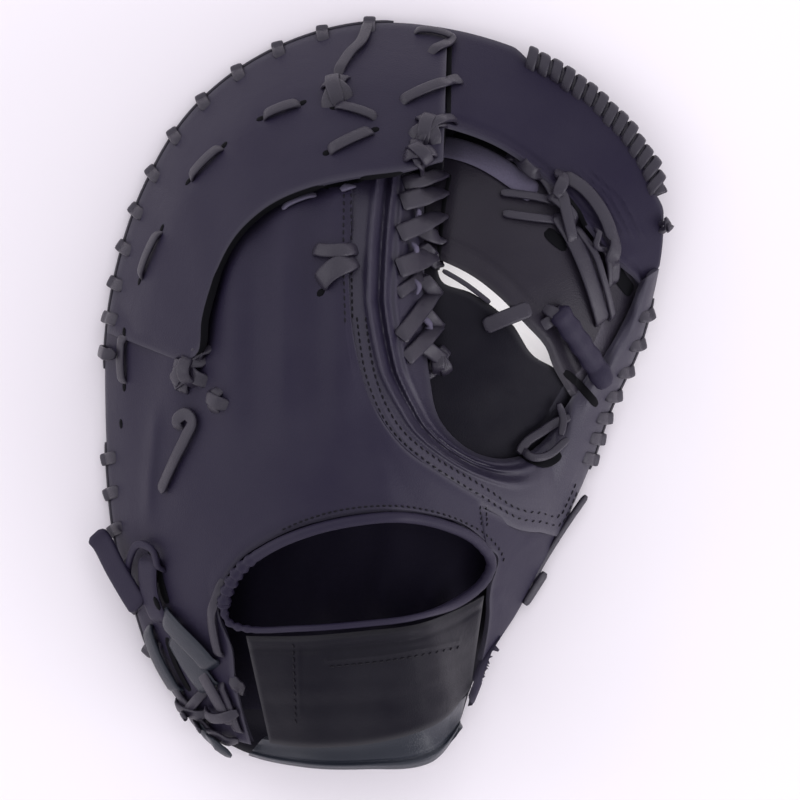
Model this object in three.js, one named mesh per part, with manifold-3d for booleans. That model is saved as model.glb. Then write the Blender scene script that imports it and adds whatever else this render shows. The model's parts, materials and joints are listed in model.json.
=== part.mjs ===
// A first baseman's mitt of black leather, lying on its palm with the back of the hand up.
// Millimetres. X runs from the little finger to the thumb, Y from the heel to the fingertips.
import * as THREE from 'three';
import * as BufferGeometryUtils from 'three/addons/utils/BufferGeometryUtils.js';
import Module from 'manifold-3d';

const wasm = await Module();
wasm.setup();

// Leather and lace
const palmThickness = 3;
const backThickness = 2.4;
const webThickness = 2.6;
const laceWidth = 4.4;
const laceThickness = 1.8;
const seatGap = 0.35;
const bindingRadius = 2.3;
const flattenedPalm = 2.6;

// The domes of the back and of the palm, over one centre
const centreX = -8;
const centreY = -5;
const backCrown = 104;
const palmCrown = 60;
const webCrown = 66;
const webRimLift = 3;
const rimInset = 2.2;

// How far the rim reaches in each direction, and how high the back and the palm stand there
const rimRows = [
  { deg: -120, reach: 157.6, back: 10.2, palm: -8 },
  { deg: -110, reach: 162.8, back: 25.2, palm: -8 },
  { deg: -100, reach: 161.4, back: 50, palm: -8 },
  { deg: -90, reach: 159.7, back: 56, palm: -8 },
  { deg: -80, reach: 159.6, back: 52, palm: -8 },
  { deg: -75, reach: 150.7, back: 42, palm: -8 },
  { deg: -70, reach: 134.3, back: 23.2, palm: -2 },
  { deg: -65, reach: 124.3, back: 11.2, palm: 0 },
  { deg: -55, reach: 114.9, back: 7.2, palm: 1 },
  { deg: -45, reach: 107.5, back: 6.2, palm: 0 },
  { deg: -30, reach: 102.8, back: 6.2, palm: -2 },
  { deg: -15, reach: 103.4, back: 6.2, palm: -2 },
  { deg: 0, reach: 109.3, back: 7.2, palm: 1 },
  { deg: 15, reach: 127.5, back: 13.2, palm: 7 },
  { deg: 22, reach: 137.9, back: 16.2, palm: 11 },
  { deg: 30, reach: 151.6, back: 19.2, palm: 14 },
  { deg: 37, reach: 162.4, back: 21.2, palm: 15 },
  { deg: 45, reach: 167.9, back: 21.2, palm: 15 },
  { deg: 60, reach: 171.4, back: 17.2, palm: 10 },
  { deg: 75, reach: 170.9, back: 10.2, palm: 3 },
  { deg: 90, reach: 169.3, back: 6.2, palm: -6 },
  { deg: 105, reach: 162.7, back: 6.2, palm: -8 },
  { deg: 120, reach: 152.5, back: 6.2, palm: -8 },
  { deg: 135, reach: 138.7, back: 6.2, palm: -8 },
  { deg: 150, reach: 127.3, back: 6.2, palm: -8 },
  { deg: 165, reach: 120, back: 6.2, palm: -8 },
  { deg: 180, reach: 116.5, back: 6.2, palm: -8 },
  { deg: 195, reach: 119.2, back: 6.2, palm: -8 },
  { deg: 210, reach: 127.9, back: 6.2, palm: -8 },
  { deg: 220, reach: 135.4, back: 6.7, palm: -8 },
  { deg: 230, reach: 147.1, back: 8.2, palm: -8 },
];

// Slope of one column at a row, with the rows taken round and round
function columnSlope(key, index) {
  const count = rimRows.length;
  const before = rimRows[(index + count - 1) % count];
  const after = rimRows[(index + 1) % count];
  const turn = (after.deg - before.deg + 360) % 360;
  return (after[key] - before[key]) / turn;
}

// One column of the rim table between its rows
function rimValue(key, deg) {
  const first = rimRows[0].deg;
  const wrapped = first + ((((deg - first) % 360) + 360) % 360);
  let index = rimRows.length - 1;
  while (rimRows[index].deg > wrapped) {
    index -= 1;
  }
  const next = (index + 1) % rimRows.length;
  const span = (rimRows[next].deg - rimRows[index].deg + 360) % 360;
  const t = (wrapped - rimRows[index].deg) / span;
  const t2 = t * t;
  const t3 = t2 * t;
  return (2 * t3 - 3 * t2 + 1) * rimRows[index][key]
    + (t3 - 2 * t2 + t) * span * columnSlope(key, index)
    + (3 * t2 - 2 * t3) * rimRows[next][key]
    + (t3 - t2) * span * columnSlope(key, next);
}

function bearing(x, y) {
  return THREE.MathUtils.radToDeg(Math.atan2(y - centreY, x - centreX));
}

function rimShare(x, y) {
  return Math.hypot(x - centreX, y - centreY) / (rimValue('reach', bearing(x, y)) - rimInset);
}

function rimPoint(deg, inset = rimInset) {
  const reach = rimValue('reach', deg) - inset;
  const angle = THREE.MathUtils.degToRad(deg);
  return { x: centreX + reach * Math.cos(angle), y: centreY + reach * Math.sin(angle) };
}

// A dome that falls from its crown to the rim
function dome(x, y, crown, rimHeight, roundness, steepness) {
  const share = Math.min(rimShare(x, y), 1);
  return rimHeight + (crown - rimHeight) * (1 - share ** roundness) ** steepness;
}

function backHeight(x, y) {
  return dome(x, y, backCrown, rimValue('back', bearing(x, y)), 2.4, 0.9);
}

function palmHeight(x, y) {
  const height = dome(x, y, palmCrown, rimValue('palm', bearing(x, y)), 2.6, 1.1);
  return Math.max(height, flattenedPalm);
}

function webHeight(x, y) {
  return dome(x, y, webCrown, rimValue('palm', bearing(x, y)) + webRimLift, 2.2, 1);
}

// A height raised or lowered by a distance square to the surface
function offsetHeight(height, x, y, distance) {
  const reach = 0.5;
  const slopeX = (height(x + reach, y) - height(x - reach, y)) / (2 * reach);
  const slopeY = (height(x, y + reach) - height(x, y - reach)) / (2 * reach);
  const steepest = 2.2;
  return height(x, y) + distance * Math.hypot(1, Math.min(Math.hypot(slopeX, slopeY), steepest));
}

function smoothStep(value) {
  return THREE.MathUtils.smoothstep(value, 0, 1);
}

// Points along a smooth line through table rows, the same number between each two
function curve(rows, steps, closed = false) {
  const knots = rows.map((row) => new THREE.Vector3(row.x, row.y, row.z ?? 0));
  const line = new THREE.CatmullRomCurve3(knots, closed, 'centripetal');
  return Array.from({ length: steps + 1 }, (_, k) => line.getPoint(k / steps));
}

function rimArc(fromDeg, toDeg, steps, inset = rimInset) {
  return Array.from({ length: steps + 1 }, (_, k) => (
    rimPoint(fromDeg + ((toDeg - fromDeg) * k) / steps, inset)
  ));
}

// Points that come near the rim are put on it
function endOnRim(points, nearRim = 0.93) {
  return points.map((point) => (
    rimShare(point.x, point.y) > nearRim ? rimPoint(bearing(point.x, point.y)) : point
  ));
}

// One closed body from corners and triangles, with its faces turned out
function closedBody(positions, triangles) {
  const soup = new THREE.BufferGeometry();
  soup.setAttribute('position', new THREE.Float32BufferAttribute(positions.flat(), 3));
  soup.setIndex(triangles.flat());
  const body = BufferGeometryUtils.mergeVertices(soup, 1e-3);
  const corners = body.index.array;
  const kept = [];
  for (let k = 0; k < corners.length; k += 3) {
    const [a, b, c] = [corners[k], corners[k + 1], corners[k + 2]];
    if (a !== b && b !== c && a !== c) {
      kept.push(a, b, c);
    }
  }
  body.setIndex(kept);
  return signedVolume(body) < 0 ? turned(body) : body;
}

function signedVolume(geometry) {
  const corners = geometry.index.array;
  const place = geometry.attributes.position;
  const [a, b, c] = [new THREE.Vector3(), new THREE.Vector3(), new THREE.Vector3()];
  let volume = 0;
  for (let k = 0; k < corners.length; k += 3) {
    a.fromBufferAttribute(place, corners[k]);
    b.fromBufferAttribute(place, corners[k + 1]);
    c.fromBufferAttribute(place, corners[k + 2]);
    volume += a.dot(b.cross(c)) / 6;
  }
  return volume;
}

function turned(geometry) {
  const corners = Array.from(geometry.index.array);
  for (let k = 0; k < corners.length; k += 3) {
    [corners[k], corners[k + 1]] = [corners[k + 1], corners[k]];
  }
  geometry.setIndex(corners);
  return geometry;
}

// A leather panel between two edges with the same number of points. The height is asked
// for each place, with the share across and the share along.
function panel({ outer, inner, shares, height, thickness, floor = -Infinity }) {
  const rows = outer.length;
  const columns = shares.length;
  const top = [];
  for (let i = 0; i < rows; i += 1) {
    for (let j = 0; j < columns; j += 1) {
      const x = THREE.MathUtils.lerp(outer[i].x, inner[i].x, shares[j]);
      const y = THREE.MathUtils.lerp(outer[i].y, inner[i].y, shares[j]);
      top.push(new THREE.Vector3(x, y, height(x, y, shares[j], i / (rows - 1))));
    }
  }
  const at = (i, j) => i * columns + j;
  const loops = outer[0].x === outer[rows - 1].x && outer[0].y === outer[rows - 1].y;
  const under = top.map((point, k) => {
    const i = Math.floor(k / columns);
    const j = k % columns;
    const back = i > 0 ? i - 1 : (loops ? rows - 2 : 0);
    const on = i < rows - 1 ? i + 1 : (loops ? 1 : rows - 1);
    const along = top[at(on, j)].clone().sub(top[at(back, j)]);
    const across = top[at(i, Math.min(j + 1, columns - 1))].clone().sub(top[at(i, Math.max(j - 1, 0))]);
    const normal = along.cross(across);
    if (normal.length() < 1e-6) {
      normal.set(0, 0, 1);
    }
    normal.normalize().multiplyScalar(normal.z < 0 ? -thickness : thickness);
    const place = point.clone().sub(normal);
    place.z = Math.max(place.z, floor);
    return place;
  });
  const lower = top.length;
  const triangles = [];
  const quad = (a, b, c, d) => triangles.push([a, b, c], [a, c, d]);
  for (let i = 0; i < rows - 1; i += 1) {
    for (let j = 0; j < columns - 1; j += 1) {
      quad(at(i, j), at(i + 1, j), at(i + 1, j + 1), at(i, j + 1));
      quad(lower + at(i, j), lower + at(i, j + 1), lower + at(i + 1, j + 1), lower + at(i + 1, j));
    }
    quad(at(i, 0), lower + at(i, 0), lower + at(i + 1, 0), at(i + 1, 0));
    const end = columns - 1;
    quad(at(i, end), at(i + 1, end), lower + at(i + 1, end), lower + at(i, end));
  }
  for (let j = 0; j < columns - 1 && !loops; j += 1) {
    quad(at(0, j), at(0, j + 1), lower + at(0, j + 1), lower + at(0, j));
    const last = rows - 1;
    quad(at(last, j), lower + at(last, j), lower + at(last, j + 1), at(last, j + 1));
  }
  return closedBody([...top, ...under].map((p) => [p.x, p.y, p.z]), triangles);
}

// A section swept along a path, or a section for each place on it. Each place has an up
// direction, and a section is a list of [side, up] corners.
function sweep(path, ups, section, closed = false) {
  const count = path.length;
  const sections = Array.isArray(section[0][0]) ? section : path.map(() => section);
  const sides = sections[0].length;
  const positions = [];
  path.forEach((point, k) => {
    const before = path[closed ? (k + count - 1) % count : Math.max(k - 1, 0)];
    const after = path[closed ? (k + 1) % count : Math.min(k + 1, count - 1)];
    const ahead = after.clone().sub(before).normalize();
    const side = ahead.clone().cross(ups[k]).normalize();
    const up = side.clone().cross(ahead).normalize();
    sections[k].forEach(([a, b]) => {
      const corner = point.clone().addScaledVector(side, a).addScaledVector(up, b);
      positions.push(corner.toArray());
    });
  });
  const triangles = [];
  for (let k = 0; k < (closed ? count : count - 1); k += 1) {
    const next = (k + 1) % count;
    for (let s = 0; s < sides; s += 1) {
      const turn = (s + 1) % sides;
      const [a, b, c, d] = [k * sides + s, k * sides + turn, next * sides + turn, next * sides + s];
      triangles.push([a, b, c], [a, c, d]);
    }
  }
  if (!closed) {
    const last = (count - 1) * sides;
    for (let s = 1; s < sides - 1; s += 1) {
      triangles.push([0, s + 1, s], [last, last + s, last + s + 1]);
    }
  }
  return closedBody(positions, triangles);
}

function flatSection(width = laceWidth, thickness = laceThickness) {
  const [w, t] = [width / 2, thickness / 2];
  return [[-w, -t], [w, -t], [w, t], [-w, t]];
}

function roundSection(radius, sides) {
  return Array.from({ length: sides }, (_, k) => {
    const angle = (2 * Math.PI * k) / sides;
    return [radius * Math.cos(angle), radius * Math.sin(angle)];
  });
}

// The direction straight out of a surface of heights
function surfaceNormal(height, x, y) {
  const reach = 0.5;
  const slopeX = (height(x + reach, y) - height(x - reach, y)) / (2 * reach);
  const slopeY = (height(x, y + reach) - height(x, y - reach)) / (2 * reach);
  return new THREE.Vector3(-slopeX, -slopeY, 1).normalize();
}

// A lace laid on a surface through plan points, with its own lift off the leather
function surfaceLace(rows, steps, height, lift, section = flatSection()) {
  const plan = curve(rows, steps);
  const ups = plan.map((p) => surfaceNormal(height, p.x, p.y));
  const path = plan.map((p, k) => {
    const above = typeof lift === 'function' ? lift(k / steps) : lift;
    return new THREE.Vector3(p.x, p.y, height(p.x, p.y)).addScaledVector(ups[k], above);
  });
  return sweep(path, ups, section);
}

function solidOf(geometry) {
  const vertProperties = new Float32Array(geometry.attributes.position.array);
  const triVerts = new Uint32Array(geometry.index.array);
  return new wasm.Manifold(new wasm.Mesh({ numProp: 3, vertProperties, triVerts }));
}

function geometryOf(solid) {
  const mesh = solid.getMesh();
  const geometry = new THREE.BufferGeometry();
  geometry.setAttribute('position', new THREE.BufferAttribute(mesh.vertProperties, 3));
  geometry.setIndex(new THREE.BufferAttribute(mesh.triVerts, 1));
  return geometry;
}

function joined(parts) {
  return geometryOf(parts.map(solidOf).reduce((whole, part) => whole.add(part)));
}

// Panel edges. Each row of a section table is one line across the leather.
const crescentRows = [
  { deg: 77.9, x: 23, y: 99.5 },
  { deg: 85.1, x: 7.5, y: 96 },
  { deg: 92.5, x: -14.5, y: 93 },
  { deg: 100.2, x: -35, y: 88 },
  { deg: 107.6, x: -50, y: 81 },
  { deg: 115.5, x: -62, y: 70.5 },
  { deg: 124, x: -70, y: 57.5 },
  { deg: 132.3, x: -74.5, y: 44.5 },
  { deg: 142.1, x: -77.5, y: 32.5 },
  { deg: 152.5, x: -79, y: 20 },
  { deg: 164.4, x: -86, y: 13 },
  { deg: 174.7, x: -98, y: 4.5 },
  { deg: 183, x: -112.5, y: -7 },
];

const handSections = [
  { outerX: 41.5, outerY: -45.5, innerX: 45, innerY: -65 },
  { outerX: 24, outerY: -34.5, innerX: 33, innerY: -56 },
  { outerX: 7.5, outerY: -22.5, innerX: 15.5, innerY: -51.5 },
  { outerX: -5.5, outerY: -3.5, innerX: 1.5, innerY: -50.5 },
  { outerX: -13, outerY: 22.5, innerX: -15, innerY: -52 },
  { outerX: -15.5, outerY: 49.5, innerX: -27, innerY: -54.5 },
  { outerX: -17, outerY: 98, innerX: -36, innerY: -57 },
  { outerX: -37, outerY: 95, innerX: -45.5, innerY: -61 },
  { outerX: -59, outerY: 83.5, innerX: -53, innerY: -65 },
  { outerX: -75.5, outerY: 60.5, innerX: -60, innerY: -69.5 },
  { outerX: -86, outerY: 28, innerX: -66.5, innerY: -76.5 },
  { outerX: -102.5, outerY: 11.5, innerX: -70, innerY: -82.5 },
  { outerX: -122.5, outerY: -7, innerX: -72, innerY: -89.5 },
  { outerX: -123, outerY: -37.5, innerX: -71, innerY: -98 },
  { outerX: -118.5, outerY: -70, innerX: -66.5, innerY: -109.5 },
  { outerX: -110, outerY: -100.5, innerX: -65, innerY: -124.5 },
  { outerX: -93.5, outerY: -133.5, innerX: -62, innerY: -138.5 },
  { outerX: -75.5, outerY: -150, innerX: -58, innerY: -152.5 },
];

const thumbSections = [
  { outerX: 42.5, outerY: -47.5, innerX: 46, innerY: -65.5 },
  { outerX: 52, outerY: -54, innerX: 49, innerY: -70.5 },
  { outerX: 63, outerY: -58.5, innerX: 48, innerY: -77.5 },
  { outerX: 75.5, outerY: -60, innerX: 45.5, innerY: -83 },
  { outerX: 86, outerY: -51, innerX: 45.5, innerY: -89 },
  { outerX: 81.5, outerY: -57, innerX: 45.5, innerY: -96.5 },
  { outerX: 70, outerY: -77.5, innerX: 44.5, innerY: -105.5 },
  { outerX: 58, outerY: -99.5, innerX: 42, innerY: -117.5 },
  { outerX: 46.5, outerY: -114, innerX: 39, innerY: -128 },
  { outerX: 39, outerY: -129, innerX: 36, innerY: -136 },
];

const strapSections = [
  { outerX: -60, outerY: -104.5, innerX: -50, innerY: -151.5 },
  { outerX: -48, outerY: -104.5, innerX: -41.5, innerY: -152.5 },
  { outerX: -32.5, outerY: -104, innerX: -28.5, innerY: -153 },
  { outerX: -10.5, outerY: -102, innerX: -8.5, innerY: -151.5 },
  { outerX: 14, outerY: -99, innerX: 12, innerY: -147 },
  { outerX: 32, outerY: -93, innerX: 26, innerY: -140.5 },
  { outerX: 43, outerY: -87.5, innerX: 37.5, innerY: -128 },
];

const heelSections = [
  { outerX: -60, outerY: -158.5, innerX: -53.5, innerY: -150 },
  { outerX: -48, outerY: -161.5, innerX: -41.5, innerY: -151 },
  { outerX: -32.5, outerY: -164.5, innerX: -28.5, innerY: -151 },
  { outerX: -8.5, outerY: -165, innerX: -8.5, innerY: -150 },
  { outerX: 11, outerY: -164, innerX: 12, innerY: -145 },
  { outerX: 24, outerY: -159.5, innerX: 26, innerY: -138.5 },
  { outerX: 32.5, outerY: -148.5, innerX: 35.5, innerY: -131.5 },
];

// The seam round the crotch, and the edge where the facing meets the pocket
const facingSections = [
  { outerX: -15, outerY: 97, innerX: 17, innerY: 97 },
  { outerX: -15, outerY: 84.5, innerX: 17, innerY: 84.5 },
  { outerX: -15, outerY: 58.5, innerX: 17, innerY: 58.5 },
  { outerX: -13, outerY: 28, innerX: 17.5, innerY: 28 },
  { outerX: -8.5, outerY: 4, innerX: 19.5, innerY: 6 },
  { outerX: 1.5, outerY: -16, innerX: 23.5, innerY: -10.5 },
  { outerX: 18.5, outerY: -31, innerX: 35, innerY: -23 },
  { outerX: 42, outerY: -46, innerX: 49, innerY: -28 },
  { outerX: 59.5, outerY: -56, innerX: 62, innerY: -25.5 },
  { outerX: 74.5, outerY: -55.5, innerX: 72, innerY: -16.5 },
  { outerX: 89.5, outerY: -43.5, innerX: 79, innerY: -5 },
];

const thumbTipEdge = [
  { x: 79, y: -5 },
  { x: 87, y: 7 },
  { x: 96.5, y: 18.5 },
  { x: 106, y: 36 },
  { x: 111, y: 49 },
];

const windowRows = [
  { x: -69.5, y: -90 },
  { x: -63, y: -76.5 },
  { x: -50, y: -66.5 },
  { x: -32.5, y: -59 },
  { x: -13, y: -54.5 },
  { x: 6.5, y: -53 },
  { x: 24, y: -56 },
  { x: 39, y: -63 },
  { x: 46, y: -72.5 },
  { x: 43, y: -81 },
  { x: 30.5, y: -90.5 },
  { x: 13, y: -96 },
  { x: -11, y: -99 },
  { x: -37, y: -101 },
  { x: -59, y: -101.5 },
  { x: -67.5, y: -98.5 },
];

const webTopEdge = [
  { x: 28.5, y: 110 },
  { x: 50, y: 103 },
  { x: 73, y: 88 },
  { x: 87, y: 72.5 },
  { x: 97, y: 60 },
  { x: 104, y: 54 },
  { x: 110, y: 52.5 },
];

const webMidSections = [
  { outerX: 28, outerY: 112, innerX: 24.5, innerY: 61 },
  { outerX: 50, outerY: 105.5, innerX: 37, innerY: 54 },
  { outerX: 71, outerY: 92.5, innerX: 50, innerY: 45.5 },
  { outerX: 86, outerY: 77.5, innerX: 63, innerY: 34 },
  { outerX: 94, outerY: 60, innerX: 74.5, innerY: 22 },
  { outerX: 98, outerY: 44.5, innerX: 83, innerY: 11 },
  { outerX: 98, outerY: 30, innerX: 88, innerY: 12 },
];

const palmWebEdge = [
  { x: 84, y: -3.5 },
  { x: 73, y: 8 },
  { x: 61, y: 19 },
  { x: 49, y: 30.5 },
  { x: 35, y: 39.5 },
  { x: 24.5, y: 45.5 },
  { x: 23, y: 63 },
  { x: 24.5, y: 84.5 },
  { x: 26, y: 106.5 },
  { x: 27.5, y: 137 },
];

function outerEdge(sections, steps) {
  return curve(sections.map((row) => ({ x: row.outerX, y: row.outerY })), steps);
}

function innerEdge(sections, steps) {
  return curve(sections.map((row) => ({ x: row.innerX, y: row.innerY })), steps);
}

// Palm: a fan about the crown, out to the rim and to the edge of the web's slit
function palmShell() {
  const edge = [
    ...rimArc(77.5, 358, 34),
    ...curve(palmWebEdge, 14),
  ];
  edge.push(edge[0]);
  const crown = edge.map(() => ({ x: centreX, y: centreY }));
  const shares = [0, 0.045, 0.12, 0.24, 0.42, 0.64, 0.84, 1];
  const height = (x, y) => palmHeight(x, y);
  return { outer: edge, inner: crown, shares, height, thickness: palmThickness, floor: 0 };
}

// Crescent over the fingers, whose inner edge stands off the back of the hand
const crescentLift = 3.6;
const crescentEdgeLift = 2.2;
const liftedByAcross = 0.45;
const endLiftFrom = 0.54;
const endLiftRun = 0.14;

function crescentHeight(x, y, across, along) {
  const clearOfHand = smoothStep(across / liftedByAcross);
  const clearAtEnd = smoothStep((along - endLiftFrom) / endLiftRun);
  const lift = crescentLift * Math.max(clearOfHand, clearAtEnd);
  return offsetHeight(backHeight, x, y, lift) + crescentEdgeLift * across ** 3;
}

function fingerBack() {
  const steps = 30;
  const inner = curve(crescentRows, steps);
  const degrees = curve(crescentRows.map((row) => ({ x: row.deg, y: 0 })), steps);
  const outer = degrees.map((p) => rimPoint(p.x));
  const shares = [0, 0.06, 0.16, 0.34, 0.56, 0.8, 1];
  return { outer, inner, shares, height: crescentHeight, thickness: backThickness };
}

function handBack() {
  const steps = 34;
  const outer = endOnRim(outerEdge(handSections, steps));
  const inner = innerEdge(handSections, steps);
  const shares = [0, 0.05, 0.14, 0.3, 0.5, 0.72, 1];
  return { outer, inner, shares, height: backHeight, thickness: backThickness };
}

// The lower of two lapped edges lies this much under the upper one
const lap = backThickness + seatGap + 0.15;

function thumbBack() {
  const steps = 20;
  const outer = endOnRim(outerEdge(thumbSections, steps));
  const inner = innerEdge(thumbSections, steps);
  const shares = [0, 0.08, 0.25, 0.5, 0.75, 1];
  return { outer, inner, shares, height: backHeight, thickness: backThickness };
}

// Facing: level with the back at the seam, down to the web and the palm at the pocket.
// Along it come the index finger, the crotch and the thumb.
const palmFrom = 0.26;
const palmRun = 0.14;
const thumbFrom = 0.45;
const thumbRun = 0.15;
const lapEndsFrom = 0.5;
const lapEndsRun = 0.08;
const webClearance = 1;
const palmClearance = 1.6;
const thumbClearance = 2.4;
const rollRoundness = 2.4;

function crotchFacing() {
  const seamSteps = 22;
  const tipSteps = 9;
  const outer = endOnRim([
    ...outerEdge(facingSections, seamSteps),
    ...rimArc(-21.5, 25, tipSteps).slice(1),
  ]);
  const inner = [
    ...innerEdge(facingSections, seamSteps),
    ...curve(thumbTipEdge, tipSteps).slice(1),
  ];
  const rows = outer.length - 1;
  const height = (x, y, across, along) => {
    const end = inner[Math.round(along * rows)];
    const onPalm = smoothStep((along - palmFrom) / palmRun);
    const onThumb = smoothStep((along - thumbFrom) / thumbRun);
    const webSeat = webHeight(end.x, end.y) + webClearance;
    const palmSeat = palmHeight(end.x, end.y) + palmClearance + thumbClearance * onThumb;
    const seat = THREE.MathUtils.lerp(webSeat, palmSeat, onPalm);
    const lapHere = lap * (1 - smoothStep((along - lapEndsFrom) / lapEndsRun));
    const fall = offsetHeight(backHeight, end.x, end.y, -lapHere) - seat;
    return offsetHeight(backHeight, x, y, -lapHere) - fall * across ** rollRoundness;
  };
  const shares = [0, 0.2, 0.4, 0.58, 0.74, 0.88, 1];
  return { outer, inner, shares, height, thickness: backThickness };
}

// Web: the upper panel is level with the crescent at the laced seam, and lies lower
// further on; its outer edge leaves room for the wrapped lace
const wrapInset = 9.5;
const wrapFromDeg = 66;
const wrapToDeg = 35;
const wrapFadeDeg = 4;
const seamLevelTo = 0.4;

function webTop() {
  const steps = 20;
  const fromDeg = 77;
  const toDeg = 27.5;
  const outer = Array.from({ length: steps + 1 }, (_, k) => {
    const deg = fromDeg + ((toDeg - fromDeg) * k) / steps;
    const begun = smoothStep((wrapFromDeg - deg) / wrapFadeDeg + 0.5);
    const left = smoothStep((deg - wrapToDeg) / wrapFadeDeg + 0.5);
    return rimPoint(deg, rimInset + (wrapInset - rimInset) * begun * left);
  });
  const inner = curve(webTopEdge, steps);
  const height = (x, y, across, along) => {
    const seamShare = 1 - smoothStep(along / seamLevelTo);
    return THREE.MathUtils.lerp(webHeight(x, y), backHeight(x, y), seamShare);
  };
  const shares = [0, 0.1, 0.3, 0.55, 0.8, 1];
  return { outer, inner, shares, height, thickness: webThickness };
}

function webMid() {
  const steps = 18;
  const outer = outerEdge(webMidSections, steps);
  const inner = innerEdge(webMidSections, steps);
  const slopeAllowance = 0.7;
  const under = webThickness + seatGap + slopeAllowance;
  const lappedTo = 0.5;
  const height = (x, y, across) => webHeight(x, y) - under * (1 - smoothStep(across / lappedTo));
  const shares = [0, 0.2, 0.4, 0.6, 0.8, 1];
  return { outer, inner, shares, height, thickness: webThickness };
}

function wristStrap() {
  const steps = 18;
  const outer = outerEdge(strapSections, steps);
  const inner = innerEdge(strapSections, steps);
  const shares = [0, 0.15, 0.4, 0.7, 1];
  const padRise = 2.5;
  const padTo = 0.625;
  const pad = (x, y, across) => (
    backHeight(x, y) + padRise * Math.sin(Math.PI * Math.min(across / padTo, 1))
  );
  return { outer, inner, shares, height: pad, thickness: palmThickness };
}

function heelBand() {
  const steps = 16;
  const outer = endOnRim(outerEdge(heelSections, steps));
  const inner = innerEdge(heelSections, steps);
  const under = palmThickness + seatGap + 0.15;
  const tuckedBy = 0.77;
  const height = (x, y, across) => (
    offsetHeight(backHeight, x, y, -under * smoothStep(across / tuckedBy))
  );
  return { outer, inner, shares: [0, 0.3, 0.65, 1], height, thickness: backThickness };
}

function wristBinding() {
  const lift = 1.7;
  const plan = curve(windowRows, 36, true).slice(0, -1);
  const path = plan.map((p) => new THREE.Vector3(p.x, p.y, backHeight(p.x, p.y) + lift));
  const ups = plan.map((p) => surfaceNormal(backHeight, p.x, p.y));
  return sweep(path, ups, roundSection(bindingRadius, 6), true);
}

// Laces on the crescent, each up through one hole and down through the next
const fingerLaceRows = [
  { fromX: -53.5, fromY: 119.5, toX: -36, toY: 126, drop: 0.9 },
  { fromX: -85, fromY: 92.5, toX: -70, toY: 107.5 },
  { fromX: -106.5, fromY: 49.5, toX: -97, toY: 71.5 },
  { fromX: -113.5, fromY: 3.5, toX: -113.5, toY: 26.5 },
  { fromX: -25, fromY: 104, toX: -4.5, toY: 114 },
];

// The height of a panel at any place, from the nearest line across it
function surfaceOf({ outer, inner, height }) {
  const between = 5;
  const count = (outer.length - 1) * between;
  const lines = Array.from({ length: count + 1 }, (_, k) => {
    const i = Math.min(Math.floor(k / between), outer.length - 2);
    const t = k / between - i;
    const start = new THREE.Vector2(outer[i].x, outer[i].y);
    const end = new THREE.Vector2(inner[i].x, inner[i].y);
    start.lerp(new THREE.Vector2(outer[i + 1].x, outer[i + 1].y), t);
    end.lerp(new THREE.Vector2(inner[i + 1].x, inner[i + 1].y), t);
    return { start, run: end.sub(start), along: k / count };
  });
  return (x, y) => {
    const place = new THREE.Vector2(x, y);
    let best = { gap: Infinity, across: 0, along: 0 };
    lines.forEach(({ start, run, along }) => {
      const reach = place.clone().sub(start).dot(run) / run.lengthSq();
      const across = THREE.MathUtils.clamp(reach, 0, 1);
      const gap = start.clone().addScaledVector(run, across).distanceTo(place);
      if (gap < best.gap) {
        best = { gap, across, along };
      }
    });
    return height(x, y, best.across, best.along);
  };
}

const crescent = fingerBack();
const hand = handBack();
const facing = crotchFacing();
const upperWeb = webTop();
const lowerWeb = webMid();
const crescentTop = surfaceOf(crescent);
const facingTop = surfaceOf(facing);
const upperWebTop = surfaceOf(upperWeb);
const lowerWebTop = surfaceOf(lowerWeb);

const laceSeat = laceThickness / 2 + seatGap + 0.5;

function fingerLace({ fromX, fromY, toX, toY, drop = 0 }) {
  const ends = [{ x: fromX, y: fromY }, { x: toX, y: toY }];
  const lift = (t) => laceSeat - drop + 0.9 * Math.sin(Math.PI * t);
  return surfaceLace(ends, 4, crescentTop, lift);
}

// Up directions for a path whose side is always the same
function upsBeside(path, side) {
  return path.map((_, k) => {
    const before = path[Math.max(k - 1, 0)];
    const after = path[Math.min(k + 1, path.length - 1)];
    return side.clone().cross(after.clone().sub(before)).normalize();
  });
}

// A lace run laid outside the rim, with a tooth over the edge to each hole
const runInset = rimInset - 1.2;
const runHeight = 3.6;
const runWidth = 2.8;
const runThickness = 1.6;
const toothReach = 6;
const toothBulge = 1.5;

function rimLace(fromDeg, toDeg, count, top) {
  const runSteps = count * 2;
  const ups = [];
  const path = [];
  for (let k = 0; k <= runSteps; k += 1) {
    const deg = fromDeg + ((toDeg - fromDeg) * k) / runSteps;
    const point = rimPoint(deg, runInset);
    path.push(new THREE.Vector3(point.x, point.y, rimRunHeight(deg)));
    ups.push(outward(deg));
  }
  const parts = [sweep(path, ups, flatSection(runWidth, runThickness))];
  for (let k = 0; k < count; k += 1) {
    const deg = fromDeg + ((toDeg - fromDeg) * (k + 0.5)) / count;
    parts.push(rimTooth(deg, top));
  }
  return joined(parts);
}

function outward(deg) {
  const angle = THREE.MathUtils.degToRad(deg);
  return new THREE.Vector3(Math.cos(angle), Math.sin(angle), 0);
}

// Halfway between the palm's edge and the edge of the leather over it
function rimRunHeight(deg) {
  return Math.max((rimValue('palm', deg) + rimValue('back', deg)) / 2, runHeight);
}

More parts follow.
